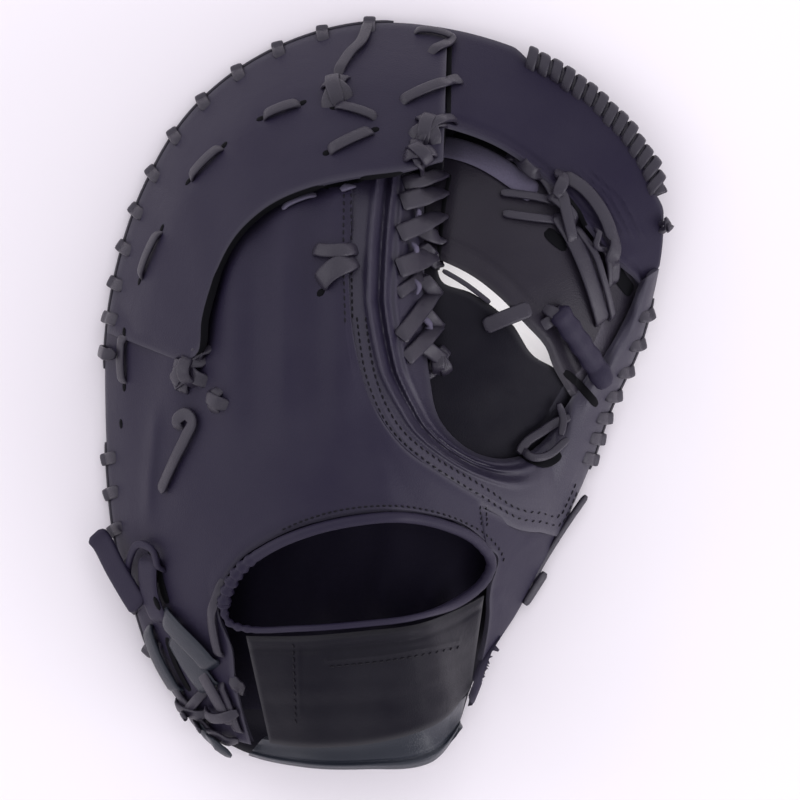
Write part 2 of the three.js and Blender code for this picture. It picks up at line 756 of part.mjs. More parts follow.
function rimTooth(deg, top) {
  const seat = (inset, lift) => {
    const point = rimPoint(deg, inset);
    const normal = surfaceNormal(top, point.x, point.y);
    return new THREE.Vector3(point.x, point.y, top(point.x, point.y)).addScaledVector(normal, lift);
  };
  const start = rimPoint(deg, runInset - 0.2);
  const foot = new THREE.Vector3(start.x, start.y, rimRunHeight(deg));
  const shoulder = seat(rimInset + 0.6, laceSeat + toothBulge);
  const inner = seat(rimInset + toothReach, laceSeat + 0.6);
  const bulge = foot.clone();
  bulge.z = THREE.MathUtils.lerp(foot.z, shoulder.z, 0.65);
  bulge.addScaledVector(outward(deg), toothBulge);
  const path = [foot, bulge, shoulder, inner];
  return sweep(path, upsBeside(path, outward(deg + 90)), flatSection());
}

// Rope-like lace wound round the web's outer edge
function webEdgeWrap() {
  const turns = 14;
  const steps = turns * 4;
  const path = [];
  const ups = [];
  const fromDeg = wrapFromDeg - 1;
  const toDeg = wrapToDeg + 1;
  const radius = 3.1;
  const swell = 0.9;
  const sunk = 0.5;
  const backShare = 0.4;
  for (let k = 0; k <= steps; k += 1) {
    const deg = fromDeg + ((toDeg - fromDeg) * k) / steps;
    const point = rimPoint(deg, wrapInset / 2 - 0.4);
    const share = backShare * (1 - smoothStep(k / steps / seamLevelTo));
    const [web, back] = [webHeight(point.x, point.y), backHeight(point.x, point.y)];
    path.push(new THREE.Vector3(point.x, point.y, THREE.MathUtils.lerp(web, back, share) - sunk));
    ups.push(new THREE.Vector3(0, 0, 1));
  }
  return ropeSweep(path, ups, radius, swell, turns);
}

// A round section whose radius swells once a turn, as a wound lace does
function ropeSweep(path, ups, radius, swell, turns) {
  const sides = 7;
  const steps = path.length - 1;
  const sections = path.map((_, k) => roundSection(1, sides).map(([a, b], s) => {
    const phase = 2 * Math.PI * ((turns * k) / steps - s / sides);
    const reach = radius + swell * Math.cos(phase);
    return [a * reach, b * reach];
  }));
  return sweep(path, ups, sections);
}

// Laces that cross from the crescent to the web lie on whichever leather is higher
function seamTop(x, y) {
  return Math.max(crescentTop(x, y), upperWebTop(x, y));
}

// A lace through places whose heights are given
function freeLace(rows, steps, section = flatSection(), up = new THREE.Vector3(0, 0, 1)) {
  const path = curve(rows, steps);
  return sweep(path, path.map(() => up), section);
}

// Whip lacing between the side of the index finger and the web
const columnRows = [
  { fingerX: 14, webX: 29, y: 101 },
  { fingerX: 14, webX: 27, y: 63 },
  { fingerX: 14.5, webX: 26, y: 46 },
  { fingerX: 16, webX: 27, y: 12 },
];

function webColumnLace() {
  const turns = 9;
  const finger = curve(columnRows.map((row) => ({ x: row.fingerX, y: row.y })), turns);
  const web = curve(columnRows.map((row) => ({ x: row.webX, y: row.y })), turns);
  const webLift = 4;
  const fingerLift = 3.8;
  const halfTurn = 4.2;
  const rows = [];
  for (let k = 0; k < turns; k += 1) {
    const [left, right] = [finger[k], web[k]];
    rows.push({ x: left.x, y: left.y, z: facingTop(left.x, left.y) + fingerLift });
    rows.push({ x: right.x, y: right.y - halfTurn, z: webHeight(right.x, right.y) + webLift });
  }
  return freeLace(rows, rows.length * 3, roundSection(1.6, 5));
}

// Laces on the leather: plan points, the surface, and the lift at the middle and the ends
function laidLace(rows, surface, { steps = 6, arch = 0.8, rise = 0, section = flatSection() } = {}) {
  const lift = (t) => laceSeat + rise + arch * Math.sin(Math.PI * t);
  return surfaceLace(rows, steps, surface, lift, section);
}

const seamLaceUpper = [
  { x: 12, y: 158 },
  { x: 22, y: 157 },
  { x: 29, y: 153.5 },
  { x: 19, y: 148 },
];

const seamLaceLower = [
  { x: 6.5, y: 126 },
  { x: 19.5, y: 131.5 },
  { x: 34, y: 137 },
];

const webKnot = [
  { x: 31, y: 118 },
  { x: 19, y: 114 },
  { x: 11, y: 106 },
  { x: 15, y: 101.5 },
  { x: 22, y: 106 },
];

const fingertipLace = [
  { x: -10, y: 152.5 },
  { x: -15, y: 147 },
  { x: -21, y: 140 },
];

const fingertipKnot = [
  { x: -21, y: 135.5 },
  { x: -24.5, y: 130 },
  { x: -20, y: 125 },
  { x: -12, y: 123 },
  { x: -3, y: 119 },
];

const sideKnot = [
  { x: -87, y: 4.5 },
  { x: -82, y: 12 },
  { x: -76.5, y: 18 },
];

const sideTail = [
  { x: -88, y: -16 },
  { x: -88.5, y: -11 },
  { x: -84.5, y: -8.5 },
  { x: -81.5, y: -12 },
  { x: -84, y: -18 },
  { x: -89.5, y: -29 },
  { x: -96, y: -42 },
];

const webLaceLong = [
  { x: 59, y: 94 },
  { x: 67.5, y: 81 },
  { x: 76.5, y: 69 },
  { x: 87, y: 57 },
  { x: 95, y: 43 },
];

const webLaceShort = [
  { x: 79, y: 87 },
  { x: 73, y: 76 },
  { x: 67, y: 66 },
  { x: 74, y: 55 },
];

const webTailUpper = [
  { x: 62, y: 82 },
  { x: 53, y: 83 },
  { x: 42.5, y: 85 },
];

const webTailLower = [
  { x: 61, y: 73 },
  { x: 53, y: 76 },
  { x: 44, y: 78.5 },
];

const crotchLoop = [
  { x: 60, y: -25 },
  { x: 64, y: -30.5 },
  { x: 72, y: -31.5 },
  { x: 78.5, y: -24 },
  { x: 79, y: -15.5 },
];

const heelLaceUpper = [
  { x: -92, y: -127 },
  { x: -82, y: -138 },
  { x: -71.5, y: -150.5 },
];

const heelLaceLower = [
  { x: -98, y: -107.5 },
  { x: -88, y: -126 },
  { x: -78, y: -146 },
];

const heelKnot = [
  { x: -67, y: -124 },
  { x: -62.5, y: -130 },
  { x: -66, y: -136 },
];

const adjustStrap = [
  { x: -98, y: -94 },
  { x: -88, y: -112 },
  { x: -77.5, y: -128 },
  { x: -66, y: -144 },
];

const adjustTab = [
  { x: -124, y: -64, z: 14.6 },
  { x: -117.5, y: -76, z: 19.6 },
  { x: -110, y: -88.5, z: 24.6 },
];

const tabLoop = [
  { x: -104, y: -86 },
  { x: -107, y: -75 },
  { x: -103, y: -64 },
  { x: -96, y: -70 },
  { x: -94, y: -82 },
];

// Small tab of lace under the seam by the index finger
function indexTab() {
  const outer = curve([{ x: -31.5, y: 64.5 }, { x: -21, y: 63.5 }, { x: -11.5, y: 63 }], 4);
  const inner = curve([{ x: -30, y: 46 }, { x: -27, y: 43.5 }, { x: -23, y: 47 }], 4);
  const height = (x, y) => offsetHeight(backHeight, x, y, laceThickness + seatGap + 0.4);
  return panel({ outer, inner, shares: [0, 0.5, 1], height, thickness: laceThickness });
}

// The rolled bar at the thumb side of the web, and the strip and the lace in the slit
function webBar() {
  const radius = 4.2;
  const rows = [
    { x: 74, y: 40 },
    { x: 81, y: 28 },
    { x: 88, y: 16 },
    { x: 93, y: 5 },
  ];
  const thumbBelow = 14;
  const bed = (x, y) => (
    y < thumbBelow ? Math.max(webHeight(x, y), facingTop(x, y)) : webHeight(x, y)
  );
  return cordOn(rows, 8, bed, radius, 8, 0.55);
}

// A round cord on the highest leather under it
function cordOn(rows, steps, height, radius, sides, riding) {
  const path = curve(rows, steps).map((p) => {
    const under = roundSection(radius, 8).map(([a, b]) => height(p.x + a, p.y + b));
    const top = Math.max(height(p.x, p.y), ...under);
    return new THREE.Vector3(p.x, p.y, top + radius * riding + seatGap);
  });
  return sweep(path, path.map(() => new THREE.Vector3(0, 0, 1)), roundSection(radius, sides));
}

function slitStrip() {
  const rows = [
    { x: 26, y: 50 },
    { x: 35, y: 43.5 },
    { x: 43, y: 37 },
  ].map((row) => ({ ...row, z: palmHeight(row.x, row.y) + 1.8 }));
  return freeLace(rows, 4, flatSection(3.4, 1.6));
}

function slitLace() {
  const rows = [
    { x: 44, y: 30, z: palmHeight(44, 30) + 1.6 },
    { x: 51, y: 36.5, z: webHeight(51, 36.5) + 0.4 },
    { x: 60, y: 41, z: webHeight(60, 41) + 1.6 },
  ];
  return freeLace(rows, 5);
}

// A lace that bows off the thumb's rim, and the strap end below it
function thumbLace() {
  const bowOut = 3.5;
  const bowUp = 3;
  const rows = [-23, -29, -35, -41, -46].map((deg, k) => {
    const bow = Math.sin((Math.PI * k) / 4);
    return { ...rimPoint(deg, runInset - 0.6 - bowOut * bow), z: 6 + bowUp * bow };
  });
  return freeLace(rows, 8, flatSection(1.8, 3));
}

function thumbLaceEnd() {
  const rows = [-47.5, -52, -57].map((deg) => ({ ...rimPoint(deg, runInset - 2.4), z: 6.5 }));
  return freeLace(rows, 4, flatSection(2.4, 5));
}

const leather = { color: '#35313c', roughness: 0.5, metalness: 0 };
const webLeather = { color: '#2e2d2b', roughness: 0.5, metalness: 0 };
const laceLeather = { color: '#3b3745', roughness: 0.42, metalness: 0 };
const bandLeather = { color: '#2a2f38', roughness: 0.35, metalness: 0 };

const mitt = new THREE.Group();

function addPiece(name, geometry, look = laceLeather) {
  const mesh = new THREE.Mesh(geometry, new THREE.MeshStandardMaterial(look));
  mesh.name = name;
  mitt.add(mesh);
}

addPiece('palm', panel(palmShell()), leather);
addPiece('finger_back', panel(crescent), leather);
addPiece('hand_back', panel(hand), leather);
addPiece('thumb_back', panel(thumbBack()), leather);
addPiece('crotch_facing', panel(facing), leather);
addPiece('web_top', panel(upperWeb), leather);
addPiece('web_mid', panel(lowerWeb), webLeather);
addPiece('web_bar', webBar(), leather);
addPiece('slit_strip', slitStrip());
addPiece('wrist_binding', wristBinding(), leather);
addPiece('wrist_strap', panel(wristStrap()), leather);
addPiece('heel_band', panel(heelBand()), bandLeather);
fingerLaceRows.forEach((row, k) => addPiece(`finger_lace_${k + 1}`, fingerLace(row)));
addPiece('rim_lace_fingers', rimLace(86, 172, 12, crescentTop));
addPiece('rim_lace_side', rimLace(188, 232, 6, backHeight));
addPiece('rim_lace_thumb', rimLace(20.5, -16, 7, facingTop));
addPiece('web_edge_wrap', webEdgeWrap());
addPiece('web_column_lace', webColumnLace());
addPiece('seam_lace_upper', laidLace(seamLaceUpper, seamTop));
addPiece('seam_lace_lower', laidLace(seamLaceLower, seamTop));
addPiece('web_knot', laidLace(webKnot, seamTop, { steps: 12, arch: 1.2 }));
addPiece('fingertip_lace', laidLace(fingertipLace, crescentTop));
addPiece('fingertip_knot', laidLace(fingertipKnot, crescentTop, { steps: 8 }));
addPiece('index_lace_tab', indexTab());
addPiece('side_knot', laidLace(sideKnot, crescentTop, { arch: 2, rise: -3.5 }));
addPiece('side_lace_tail', laidLace(sideTail, backHeight, { steps: 18 }));
addPiece('web_lace_long', laidLace(webLaceLong, webHeight, { steps: 8 }));
addPiece('web_lace_short', laidLace(webLaceShort, webHeight, { steps: 8, arch: 3.2 }));
addPiece('web_tail_upper', laidLace(webTailUpper, lowerWebTop));
addPiece('web_tail_lower', laidLace(webTailLower, lowerWebTop));
addPiece('slit_lace', slitLace());
addPiece('crotch_loop', cordOn(crotchLoop, 10, facingTop, 2.4, 6, 0.75));
addPiece('thumb_lace', thumbLace());
addPiece('thumb_lace_end', thumbLaceEnd());
addPiece('adjust_strap', laidLace(adjustStrap, backHeight, { section: flatSection(15, 2.2), rise: -0.3 }));
addPiece('adjust_tab', freeLace(adjustTab, 5, flatSection(11, 3), new THREE.Vector3(-0.55, -0.3, 0.8)));
addPiece('tab_loop', laidLace(tabLoop, backHeight, { steps: 12, rise: -0.4 }));
addPiece('heel_lace_upper', laidLace(heelLaceUpper, backHeight, { rise: -0.2 }));
addPiece('heel_lace_lower', laidLace(heelLaceLower, backHeight, { rise: 2.6 }));
addPiece('heel_knot', laidLace(heelKnot, backHeight, { rise: -0.2 }));

// The object stands on the middle of its underside
const bounds = new THREE.Box3().setFromObject(mitt);
const middle = bounds.getCenter(new THREE.Vector3());
mitt.position.set(-middle.x, -middle.y, -bounds.min.z);

export default mitt;
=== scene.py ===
"""A first baseman's mitt of black leather, lying on its palm with the back of the hand up."""

import json
import math

import bpy
import numpy as np
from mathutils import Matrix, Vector
from mathutils.bvhtree import BVHTree

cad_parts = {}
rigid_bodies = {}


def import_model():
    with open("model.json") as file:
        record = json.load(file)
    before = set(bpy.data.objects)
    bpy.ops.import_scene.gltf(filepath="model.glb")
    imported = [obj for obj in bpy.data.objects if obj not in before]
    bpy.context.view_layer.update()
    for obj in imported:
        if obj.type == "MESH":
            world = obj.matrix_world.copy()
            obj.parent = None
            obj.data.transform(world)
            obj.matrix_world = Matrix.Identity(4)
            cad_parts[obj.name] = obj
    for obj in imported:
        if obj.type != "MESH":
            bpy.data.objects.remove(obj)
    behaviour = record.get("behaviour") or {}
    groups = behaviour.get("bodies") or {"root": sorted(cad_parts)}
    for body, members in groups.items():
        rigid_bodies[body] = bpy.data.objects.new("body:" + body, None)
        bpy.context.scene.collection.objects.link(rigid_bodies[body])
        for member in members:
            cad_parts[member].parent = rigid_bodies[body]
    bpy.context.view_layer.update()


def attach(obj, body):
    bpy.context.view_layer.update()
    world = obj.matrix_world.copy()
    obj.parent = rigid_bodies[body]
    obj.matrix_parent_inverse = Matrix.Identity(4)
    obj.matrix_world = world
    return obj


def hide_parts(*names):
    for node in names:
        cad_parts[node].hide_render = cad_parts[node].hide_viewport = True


bl_info = {
    "name": "First Baseman Mitt",
    "version": (1, 0, 0),
    "blender": (4, 5, 0),
    "location": "3D View > Sidebar > Mitt",
    "description": "Builds a laced leather first baseman's mitt on its packed model",
    "category": "Add Mesh",
}

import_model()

# Millimetres on the maker's drawing, and where the drawing's zero lies in the model
MM = 0.001
DRAWING_SHIFT = (3.2727, -1.6527)

# Leather and lace
PALM_THICKNESS = 3.0
BACK_THICKNESS = 2.4
WEB_THICKNESS = 2.6
SEAT_GAP = 0.35
SEWN_GAP = 0.15

# The domes of the back and of the palm, over one centre
CENTRE = (-8.0, -5.0)
BACK_CROWN = 104.0
PALM_CROWN = 60.0
WEB_CROWN = 66.0
WEB_RIM_LIFT = 3.0
RIM_INSET = 2.2
FLATTENED_PALM = 2.6

# How far the rim reaches in each direction, and how high back and palm stand there
RIM_COLUMNS = ("deg", "reach", "back", "palm")
RIM_ROWS = (
    (-120, 157.6, 10.2, -8),
    (-110, 162.8, 25.2, -8),
    (-100, 161.4, 50, -8),
    (-90, 159.7, 56, -8),
    (-80, 159.6, 52, -8),
    (-75, 150.7, 42, -8),
    (-70, 134.3, 23.2, -2),
    (-65, 124.3, 11.2, 0),
    (-55, 114.9, 7.2, 1),
    (-45, 107.5, 6.2, 0),
    (-30, 102.8, 6.2, -2),
    (-15, 103.4, 6.2, -2),
    (0, 109.3, 7.2, 1),
    (15, 127.5, 13.2, 7),
    (22, 137.9, 16.2, 11),
    (30, 151.6, 19.2, 14),
    (37, 162.4, 21.2, 15),
    (45, 167.9, 21.2, 15),
    (60, 171.4, 17.2, 10),
    (75, 170.9, 10.2, 3),
    (90, 169.3, 6.2, -6),
    (105, 162.7, 6.2, -8),
    (120, 152.5, 6.2, -8),
    (135, 138.7, 6.2, -8),
    (150, 127.3, 6.2, -8),
    (165, 120, 6.2, -8),
    (180, 116.5, 6.2, -8),
    (195, 119.2, 6.2, -8),
    (210, 127.9, 6.2, -8),
    (220, 135.4, 6.7, -8),
    (230, 147.1, 8.2, -8),
)

# The crescent: a direction on the rim in degrees, and x and y on its inner edge
CRESCENT_ROWS = (
    (77.9, 25.3, 101),
    (85.1, 7.5, 96),
    (92.5, -14.5, 93),
    (100.2, -35, 88),
    (107.6, -50, 81),
    (115.5, -62, 70.5),
    (124, -70, 57.5),
    (132.3, -74.5, 44.5),
    (142.1, -77.5, 32.5),
    (152.5, -79, 20),
    (164.4, -86, 13),
)

# Other panels: each row is one line across the leather, x and y outside, then inside
HAND_ROWS = (
    (41.5, -45.5, 45, -65),
    (24, -34.5, 33, -56),
    (7.5, -22.5, 15.5, -51.5),
    (-5.5, -3.5, 1.5, -50.5),
    (-13, 22.5, -15, -52),
    (-15.5, 49.5, -27, -54.5),
    (-17, 98, -36, -57),
    (-37, 95, -45.5, -61),
    (-59, 83.5, -53, -65),
    (-75.5, 60.5, -60, -69.5),
    (-92, 38, -66.5, -76.5),
    (-112, 31, -70, -82.5),
    (-126, 18, -72, -89.5),
    (-123, -37.5, -71, -98),
    (-118.5, -70, -66.5, -109.5),
    (-110, -100.5, -65, -124.5),
    (-93.5, -133.5, -62, -138.5),
    (-75.5, -150, -58, -152.5),
)
THUMB_ROWS = (
    (42.5, -47.5, 46, -65.5),
    (52, -54, 49, -70.5),
    (63, -58.5, 48, -77.5),
    (72, -58.5, 46.5, -82),
    (74, -66, 45.5, -88.5),
    (72, -71.5, 45.5, -96.5),
    (70, -77.5, 44.5, -105.5),
    (58, -99.5, 42, -117.5),
    (46.5, -114, 39, -128),
    (39, -129, 36, -136),
)
STRAP_ROWS = (
    (-60, -104.5, -50, -151.5),
    (-48, -104.5, -41.5, -152.5),
    (-32.5, -104, -28.5, -153),
    (-10.5, -102, -8.5, -151.5),
    (14, -99, 12, -147),
    (32, -93, 26, -140.5),
    (43, -87.5, 37.5, -128),
)
HEEL_ROWS = (
    (-60, -158.5, -53.5, -150),
    (-48, -161.5, -41.5, -151),
    (-32.5, -164.5, -28.5, -151),
    (-8.5, -165, -8.5, -150),
    (11, -164, 12, -145),
    (24, -159.5, 26, -138.5),
    (32.5, -148.5, 35.5, -131.5),
)
FACING_ROWS = (
    (-15, 97, 17, 97),
    (-15, 84.5, 17, 84.5),
    (-15, 58.5, 17, 58.5),
    (-13, 28, 17.5, 28),
    (-8.5, 4, 19.5, 6),
    (1.5, -16, 23.5, -10.5),
    (18.5, -31, 35, -23),
    (42, -46, 49, -28),
    (59.5, -56, 62, -25.5),
    (74.5, -55.5, 72, -16.5),
    (89.5, -43.5, 79, -5),
)

# Edges as x and y
THUMB_TIP_EDGE = ((79, -5), (87, 7), (96.5, 18.5), (106, 36), (111, 49))
WINDOW_EDGE = (
    (-69.5, -90), (-63, -76.5), (-50, -66.5), (-32.5, -59), (-13, -54.5), (6.5, -53),
    (24, -56), (39, -63), (46, -72.5), (43, -81), (30.5, -90.5), (13, -96), (-11, -99),
    (-37, -101), (-59, -101.5), (-67.5, -98.5),
)
WEB_TOP_EDGE = (
    (19, 116), (28.5, 114.5), (50, 106.5), (73, 89.5), (87, 72.5), (97, 60), (104, 54),
    (109, 50), (113, 45),
)
WEB_MID_ROWS = (
    (19, 120, 17, 61),
    (50, 110, 37, 51.5),
    (71, 95, 50, 41.5),
    (86, 77.5, 60.5, 30.5),
    (100, 61, 69.5, 20.5),
    (111, 45.5, 73.3, 11.3),
    (107, 27, 84, -6),
)
PALM_WEB_EDGE = (
    (84, -3.5), (76, 9.5), (64, 17), (54.5, 31), (38, 43.5), (24.5, 49), (23, 63),
    (24.5, 84.5), (26, 106.5), (27.5, 137),
)

# Steps along an edge and along a lace, and degrees between two places on the rim
LINE_STEPS = 480
LACE_STEPS = 120
RIM_STEP = 0.25


def linear_from_hex(text):
    """An sRGB hex colour as linear red, green and blue."""
    values = [int(text[k:k + 2], 16) / 255 for k in (1, 3, 5)]
    return tuple(v / 12.92 if v <= 0.04045 else ((v + 0.055) / 1.055) ** 2.4 for v in values)


# Sizes and colours that a user would change

class MittSizes(bpy.types.PropertyGroup):
    """Sizes of the lace, the stitches and the cut edges."""

    lace_width: bpy.props.FloatProperty(
        name="Lace width", description="Width of the rawhide lace",
        default=4.6 * MM, min=2 * MM, max=8 * MM, unit="LENGTH", precision=4)
    lace_thickness: bpy.props.FloatProperty(
        name="Lace thickness", description="Thickness of the rawhide lace",
        default=1.9 * MM, min=1 * MM, max=3 * MM, unit="LENGTH", precision=4)
    stitch_pitch: bpy.props.FloatProperty(
        name="Stitch pitch", description="Distance from one stitch to the next",
        default=3.1 * MM, min=2 * MM, max=6 * MM, unit="LENGTH", precision=4)
    thread_radius: bpy.props.FloatProperty(
        name="Thread radius", description="Half the thickness of the sewing thread",
        default=0.42 * MM, min=0.2 * MM, max=0.8 * MM, unit="LENGTH", precision=4)
    edge_rounding: bpy.props.FloatProperty(
        name="Edge rounding", description="How far the cut edges of the leather are rounded",
        default=0.8 * MM, min=0.2 * MM, max=1.2 * MM, unit="LENGTH", precision=4)


class MittColours(bpy.types.PropertyGroup):
    """Colours of the leathers, the lace, the lining and the thread, and of the painted light and shade."""

    leather: bpy.props.FloatVectorProperty(
        name="Leather", description="Dyed cowhide of the palm and the back",
        subtype="COLOR", size=3, min=0, max=1, default=linear_from_hex("#171029"))
    web: bpy.props.FloatVectorProperty(
        name="Web", description="Oiled cowhide of the web",
        subtype="COLOR", size=3, min=0, max=1, default=linear_from_hex("#17121f"))
    lace: bpy.props.FloatVectorProperty(
        name="Lace", description="Waxed rawhide lace",
        subtype="COLOR", size=3, min=0, max=1, default=linear_from_hex("#1d1827"))
    band: bpy.props.FloatVectorProperty(
        name="Heel band", description="Glossy leather of the heel band",
        subtype="COLOR", size=3, min=0, max=1, default=linear_from_hex("#141a26"))
    # Painted shade: darker than the back's leather so the pocket reads as shaded; on the wrist strap the same
    # colour is the strap's own dark oiled leather
    pocket: bpy.props.FloatVectorProperty(
        name="Pocket", description="Oiled cowhide of the pocket and the wrist strap",
        subtype="COLOR", size=3, min=0, max=1, default=linear_from_hex("#080612"))
    # Painted light: this pale colour stands for highlights and glimpses of the lit floor in narrow strips
    pale: bpy.props.FloatVectorProperty(
        name="Pale edge", description="Undyed inner leather that shows in narrow strips",
        subtype="COLOR", size=3, min=0, max=1, default=linear_from_hex("#565263"))
    lining: bpy.props.FloatVectorProperty(
        name="Lining", description="Soft lining that shows in the wrist opening",
        subtype="COLOR", size=3, min=0, max=1, default=linear_from_hex("#0a0617"))
    shade: bpy.props.FloatVectorProperty(
        name="Hole shade", description="The dark inside holes and crevices",
        subtype="COLOR", size=3, min=0, max=1, default=linear_from_hex("#030307"))
    thread: bpy.props.FloatVectorProperty(
        name="Thread", description="Bonded nylon sewing thread",
        subtype="COLOR", size=3, min=0, max=1, default=linear_from_hex("#121017"))


# The shape of the mitt, in drawing millimetres

def rim_lines():
    """The rim table as smooth lines, in small steps round and round."""
    rows = np.array(RIM_ROWS, float)
    count = len(rows)
    turn = (np.roll(rows[:, 0], -1) - rows[:, 0]) % 360
    both_turns = (np.roll(rows[:, 0], -1) - np.roll(rows[:, 0], 1)) % 360
    slope = (np.roll(rows, -1, axis=0) - np.roll(rows, 1, axis=0)) / both_turns[:, None]
    degs = np.arange(0, 360 + RIM_STEP, RIM_STEP)
    wrapped = rows[0, 0] + (degs - rows[0, 0]) % 360
    index = np.searchsorted(rows[:, 0], wrapped, side="right") - 1
    after = (index + 1) % count
    t = ((wrapped - rows[index, 0]) / turn[index])[:, None]
    span = turn[index][:, None]
    values = ((2 * t**3 - 3 * t**2 + 1) * rows[index] + (t**3 - 2 * t**2 + t) * span * slope[index]
              + (3 * t**2 - 2 * t**3) * rows[after] + (t**3 - t**2) * span * slope[after])
    lines = {name: values[:, k] for k, name in enumerate(RIM_COLUMNS)}
    lines["deg"] = degs
    return lines


RIM = rim_lines()


def rim_value(name, deg):
    """One column of the rim table in any direction."""
    return np.interp(np.mod(deg, 360), RIM["deg"], RIM[name])


def bearing(x, y):
    """The direction of a place from the domes' centre, in degrees."""
    return np.degrees(np.arctan2(y - CENTRE[1], x - CENTRE[0]))


def rim_share(x, y):
    """How far out a place lies: nought at the centre, one at the leather's edge."""
    reach = rim_value("reach", bearing(x, y)) - RIM_INSET
    return np.hypot(x - CENTRE[0], y - CENTRE[1]) / reach


def rim_point(deg, inset=RIM_INSET):
    """Places on the rim, or inset from it, as an array of x and y."""
    reach = rim_value("reach", deg) - inset
    angle = np.radians(deg)
    return np.stack([CENTRE[0] + reach * np.cos(angle), CENTRE[1] + reach * np.sin(angle)], axis=-1)


def dome(x, y, crown, rim_height, roundness, steepness):
    """A height that falls from the crown to the rim."""
    share = np.minimum(rim_share(x, y), 1)
    return rim_height + (crown - rim_height) * (1 - share**roundness) ** steepness


def back_height(x, y):
    return dome(x, y, BACK_CROWN, rim_value("back", bearing(x, y)), roundness=2.4, steepness=0.9)


def palm_height(x, y):
    height = dome(x, y, PALM_CROWN, rim_value("palm", bearing(x, y)), roundness=2.6, steepness=1.1)
    return np.maximum(height, FLATTENED_PALM)


def web_height(x, y):
    rim_height = rim_value("palm", bearing(x, y)) + WEB_RIM_LIFT
    return dome(x, y, WEB_CROWN, rim_height, roundness=2.2, steepness=1)


SLOPE_REACH = 0.5
STEEPEST = 2.2


def offset_height(height, x, y, distance):
    """A height raised or lowered by a distance square to the surface."""
    slope = np.hypot(height(x + SLOPE_REACH, y) - height(x - SLOPE_REACH, y),
                     height(x, y + SLOPE_REACH) - height(x, y - SLOPE_REACH)) / (2 * SLOPE_REACH)
    return height(x, y) + distance * np.hypot(1, np.minimum(slope, STEEPEST))


def smooth_step(value):
    """Nought below nought, one above one, and a smooth rise between."""
    t = np.clip(value, 0, 1)
    return t * t * (3 - 2 * t)


def bump(value, middle, width):
    """A rounded swelling of height one about the middle."""
    return np.exp(-(((value - middle) / width) ** 2))


def smooth_line(rows, steps, closed=False):
    """Points along a smooth line through the rows, the same number between each two."""
    knots = np.array(rows, float)
    count = len(knots)
    spans = count if closed else count - 1
    along = np.linspace(0, spans, steps + 1)
    index = np.minimum(np.floor(along).astype(int), spans - 1)
    weight = (along - index)[:, None]
    if closed:
        before, start, end, after = (knots[(index + k) % count] for k in (-1, 0, 1, 2))
    else:
        padded = np.vstack([2 * knots[0] - knots[1], knots, 2 * knots[-1] - knots[-2]])
        before, start, end, after = (padded[index + k] for k in (0, 1, 2, 3))
    gap = [np.maximum(np.linalg.norm(b - a, axis=1, keepdims=True), 1e-6) ** 0.5
           for a, b in ((before, start), (start, end), (end, after))]
    lead = (start - before) / gap[0] - (end - before) / (gap[0] + gap[1]) + (end - start) / gap[1]
    trail = (end - start) / gap[1] - (after - start) / (gap[1] + gap[2]) + (after - end) / gap[2]
    lead, trail = lead * gap[1], trail * gap[1]
    return (start + lead * weight + (3 * (end - start) - 2 * lead - trail) * weight**2
            + (2 * (start - end) + lead + trail) * weight**3)


PULL_FROM = 0.9
PULL_BAND = 0.05


def near_rim_on_rim(points):
    """Points that come near the rim are drawn out on to it."""
    x, y = points[:, 0], points[:, 1]
    pull = smooth_step((rim_share(x, y) - PULL_FROM) / PULL_BAND)[:, None]
    return points * (1 - pull) + rim_point(bearing(x, y)) * pull


def even_line(points, spacing):
    """The same line with its points an even distance apart."""
    steps = np.linalg.norm(np.diff(points, axis=0), axis=1)
    run = np.concatenate([[0], np.cumsum(steps)])
    places = np.linspace(0, run[-1], max(int(round(run[-1] / spacing)), 2) + 1)
    return np.stack([np.interp(places, run, points[:, k]) for k in range(points.shape[1])], axis=1)


def distance_to_line(x, y, line):
    """How far each place is from a line of points, and the share along the line there."""
    line = np.array(line, float)
    best = np.full(np.shape(x), np.inf)
    share = np.zeros(np.shape(x))
    spans = len(line) - 1
    for k in range(spans):
        run = line[k + 1] - line[k]
        t = np.clip(((x - line[k, 0]) * run[0] + (y - line[k, 1]) * run[1]) / (run @ run), 0, 1)
        gap = np.hypot(x - line[k, 0] - t * run[0], y - line[k, 1] - t * run[1])
        share = np.where(gap < best, (k + t) / spans, share)
        best = np.minimum(gap, best)
    return best, share


def ridge(x, y, line, height, width, fade):
    """A rounded fold along a line that dies away at both its ends."""
    gap, share = distance_to_line(x, y, line)
    ends = smooth_step(share / fade) * smooth_step((1 - share) / fade)
    return height * ends * np.exp(-((gap / width) ** 2))


def folds(x, y, table):
    """All the folds of a table, whose rows are a ridge's line, height, width and fade."""
    return sum(ridge(x, y, *row) for row in table)


# Making meshes

MERGE_DISTANCE = 1e-6


def select_only(piece):
    bpy.ops.object.select_all(action="DESELECT")
    piece.select_set(True)
    bpy.context.view_layer.objects.active = piece


def in_edit_mode(piece, *steps):
    """Runs mesh steps on the whole of one piece."""
    select_only(piece)
    bpy.ops.object.mode_set(mode="EDIT")
    bpy.ops.mesh.select_all(action="SELECT")
    for step in steps:
        step()
    bpy.ops.object.mode_set(mode="OBJECT")


def merge_doubles():
    bpy.ops.mesh.remove_doubles(threshold=MERGE_DISTANCE)


def merge_and_close():
    """Seams merged, ends filled and faces turned outwards."""
    merge_doubles()
    bpy.ops.mesh.fill_holes(sides=0)
    bpy.ops.mesh.normals_make_consistent(inside=False)


def new_grid(name, across, along):
    """A flat grid and each corner's share across and along it."""
    bpy.ops.object.select_all(action="DESELECT")
    bpy.ops.mesh.primitive_grid_add(x_subdivisions=across, y_subdivisions=along, size=1)
    piece = bpy.context.object
    piece.name = name
    piece.data.name = name
    corners = np.empty(len(piece.data.vertices) * 3, np.float32)
    piece.data.vertices.foreach_get("co", corners)
    corners = corners.reshape(-1, 3).astype(float)
    return piece, np.clip(corners[:, 0] + 0.5, 0, 1), np.clip(corners[:, 1] + 0.5, 0, 1)


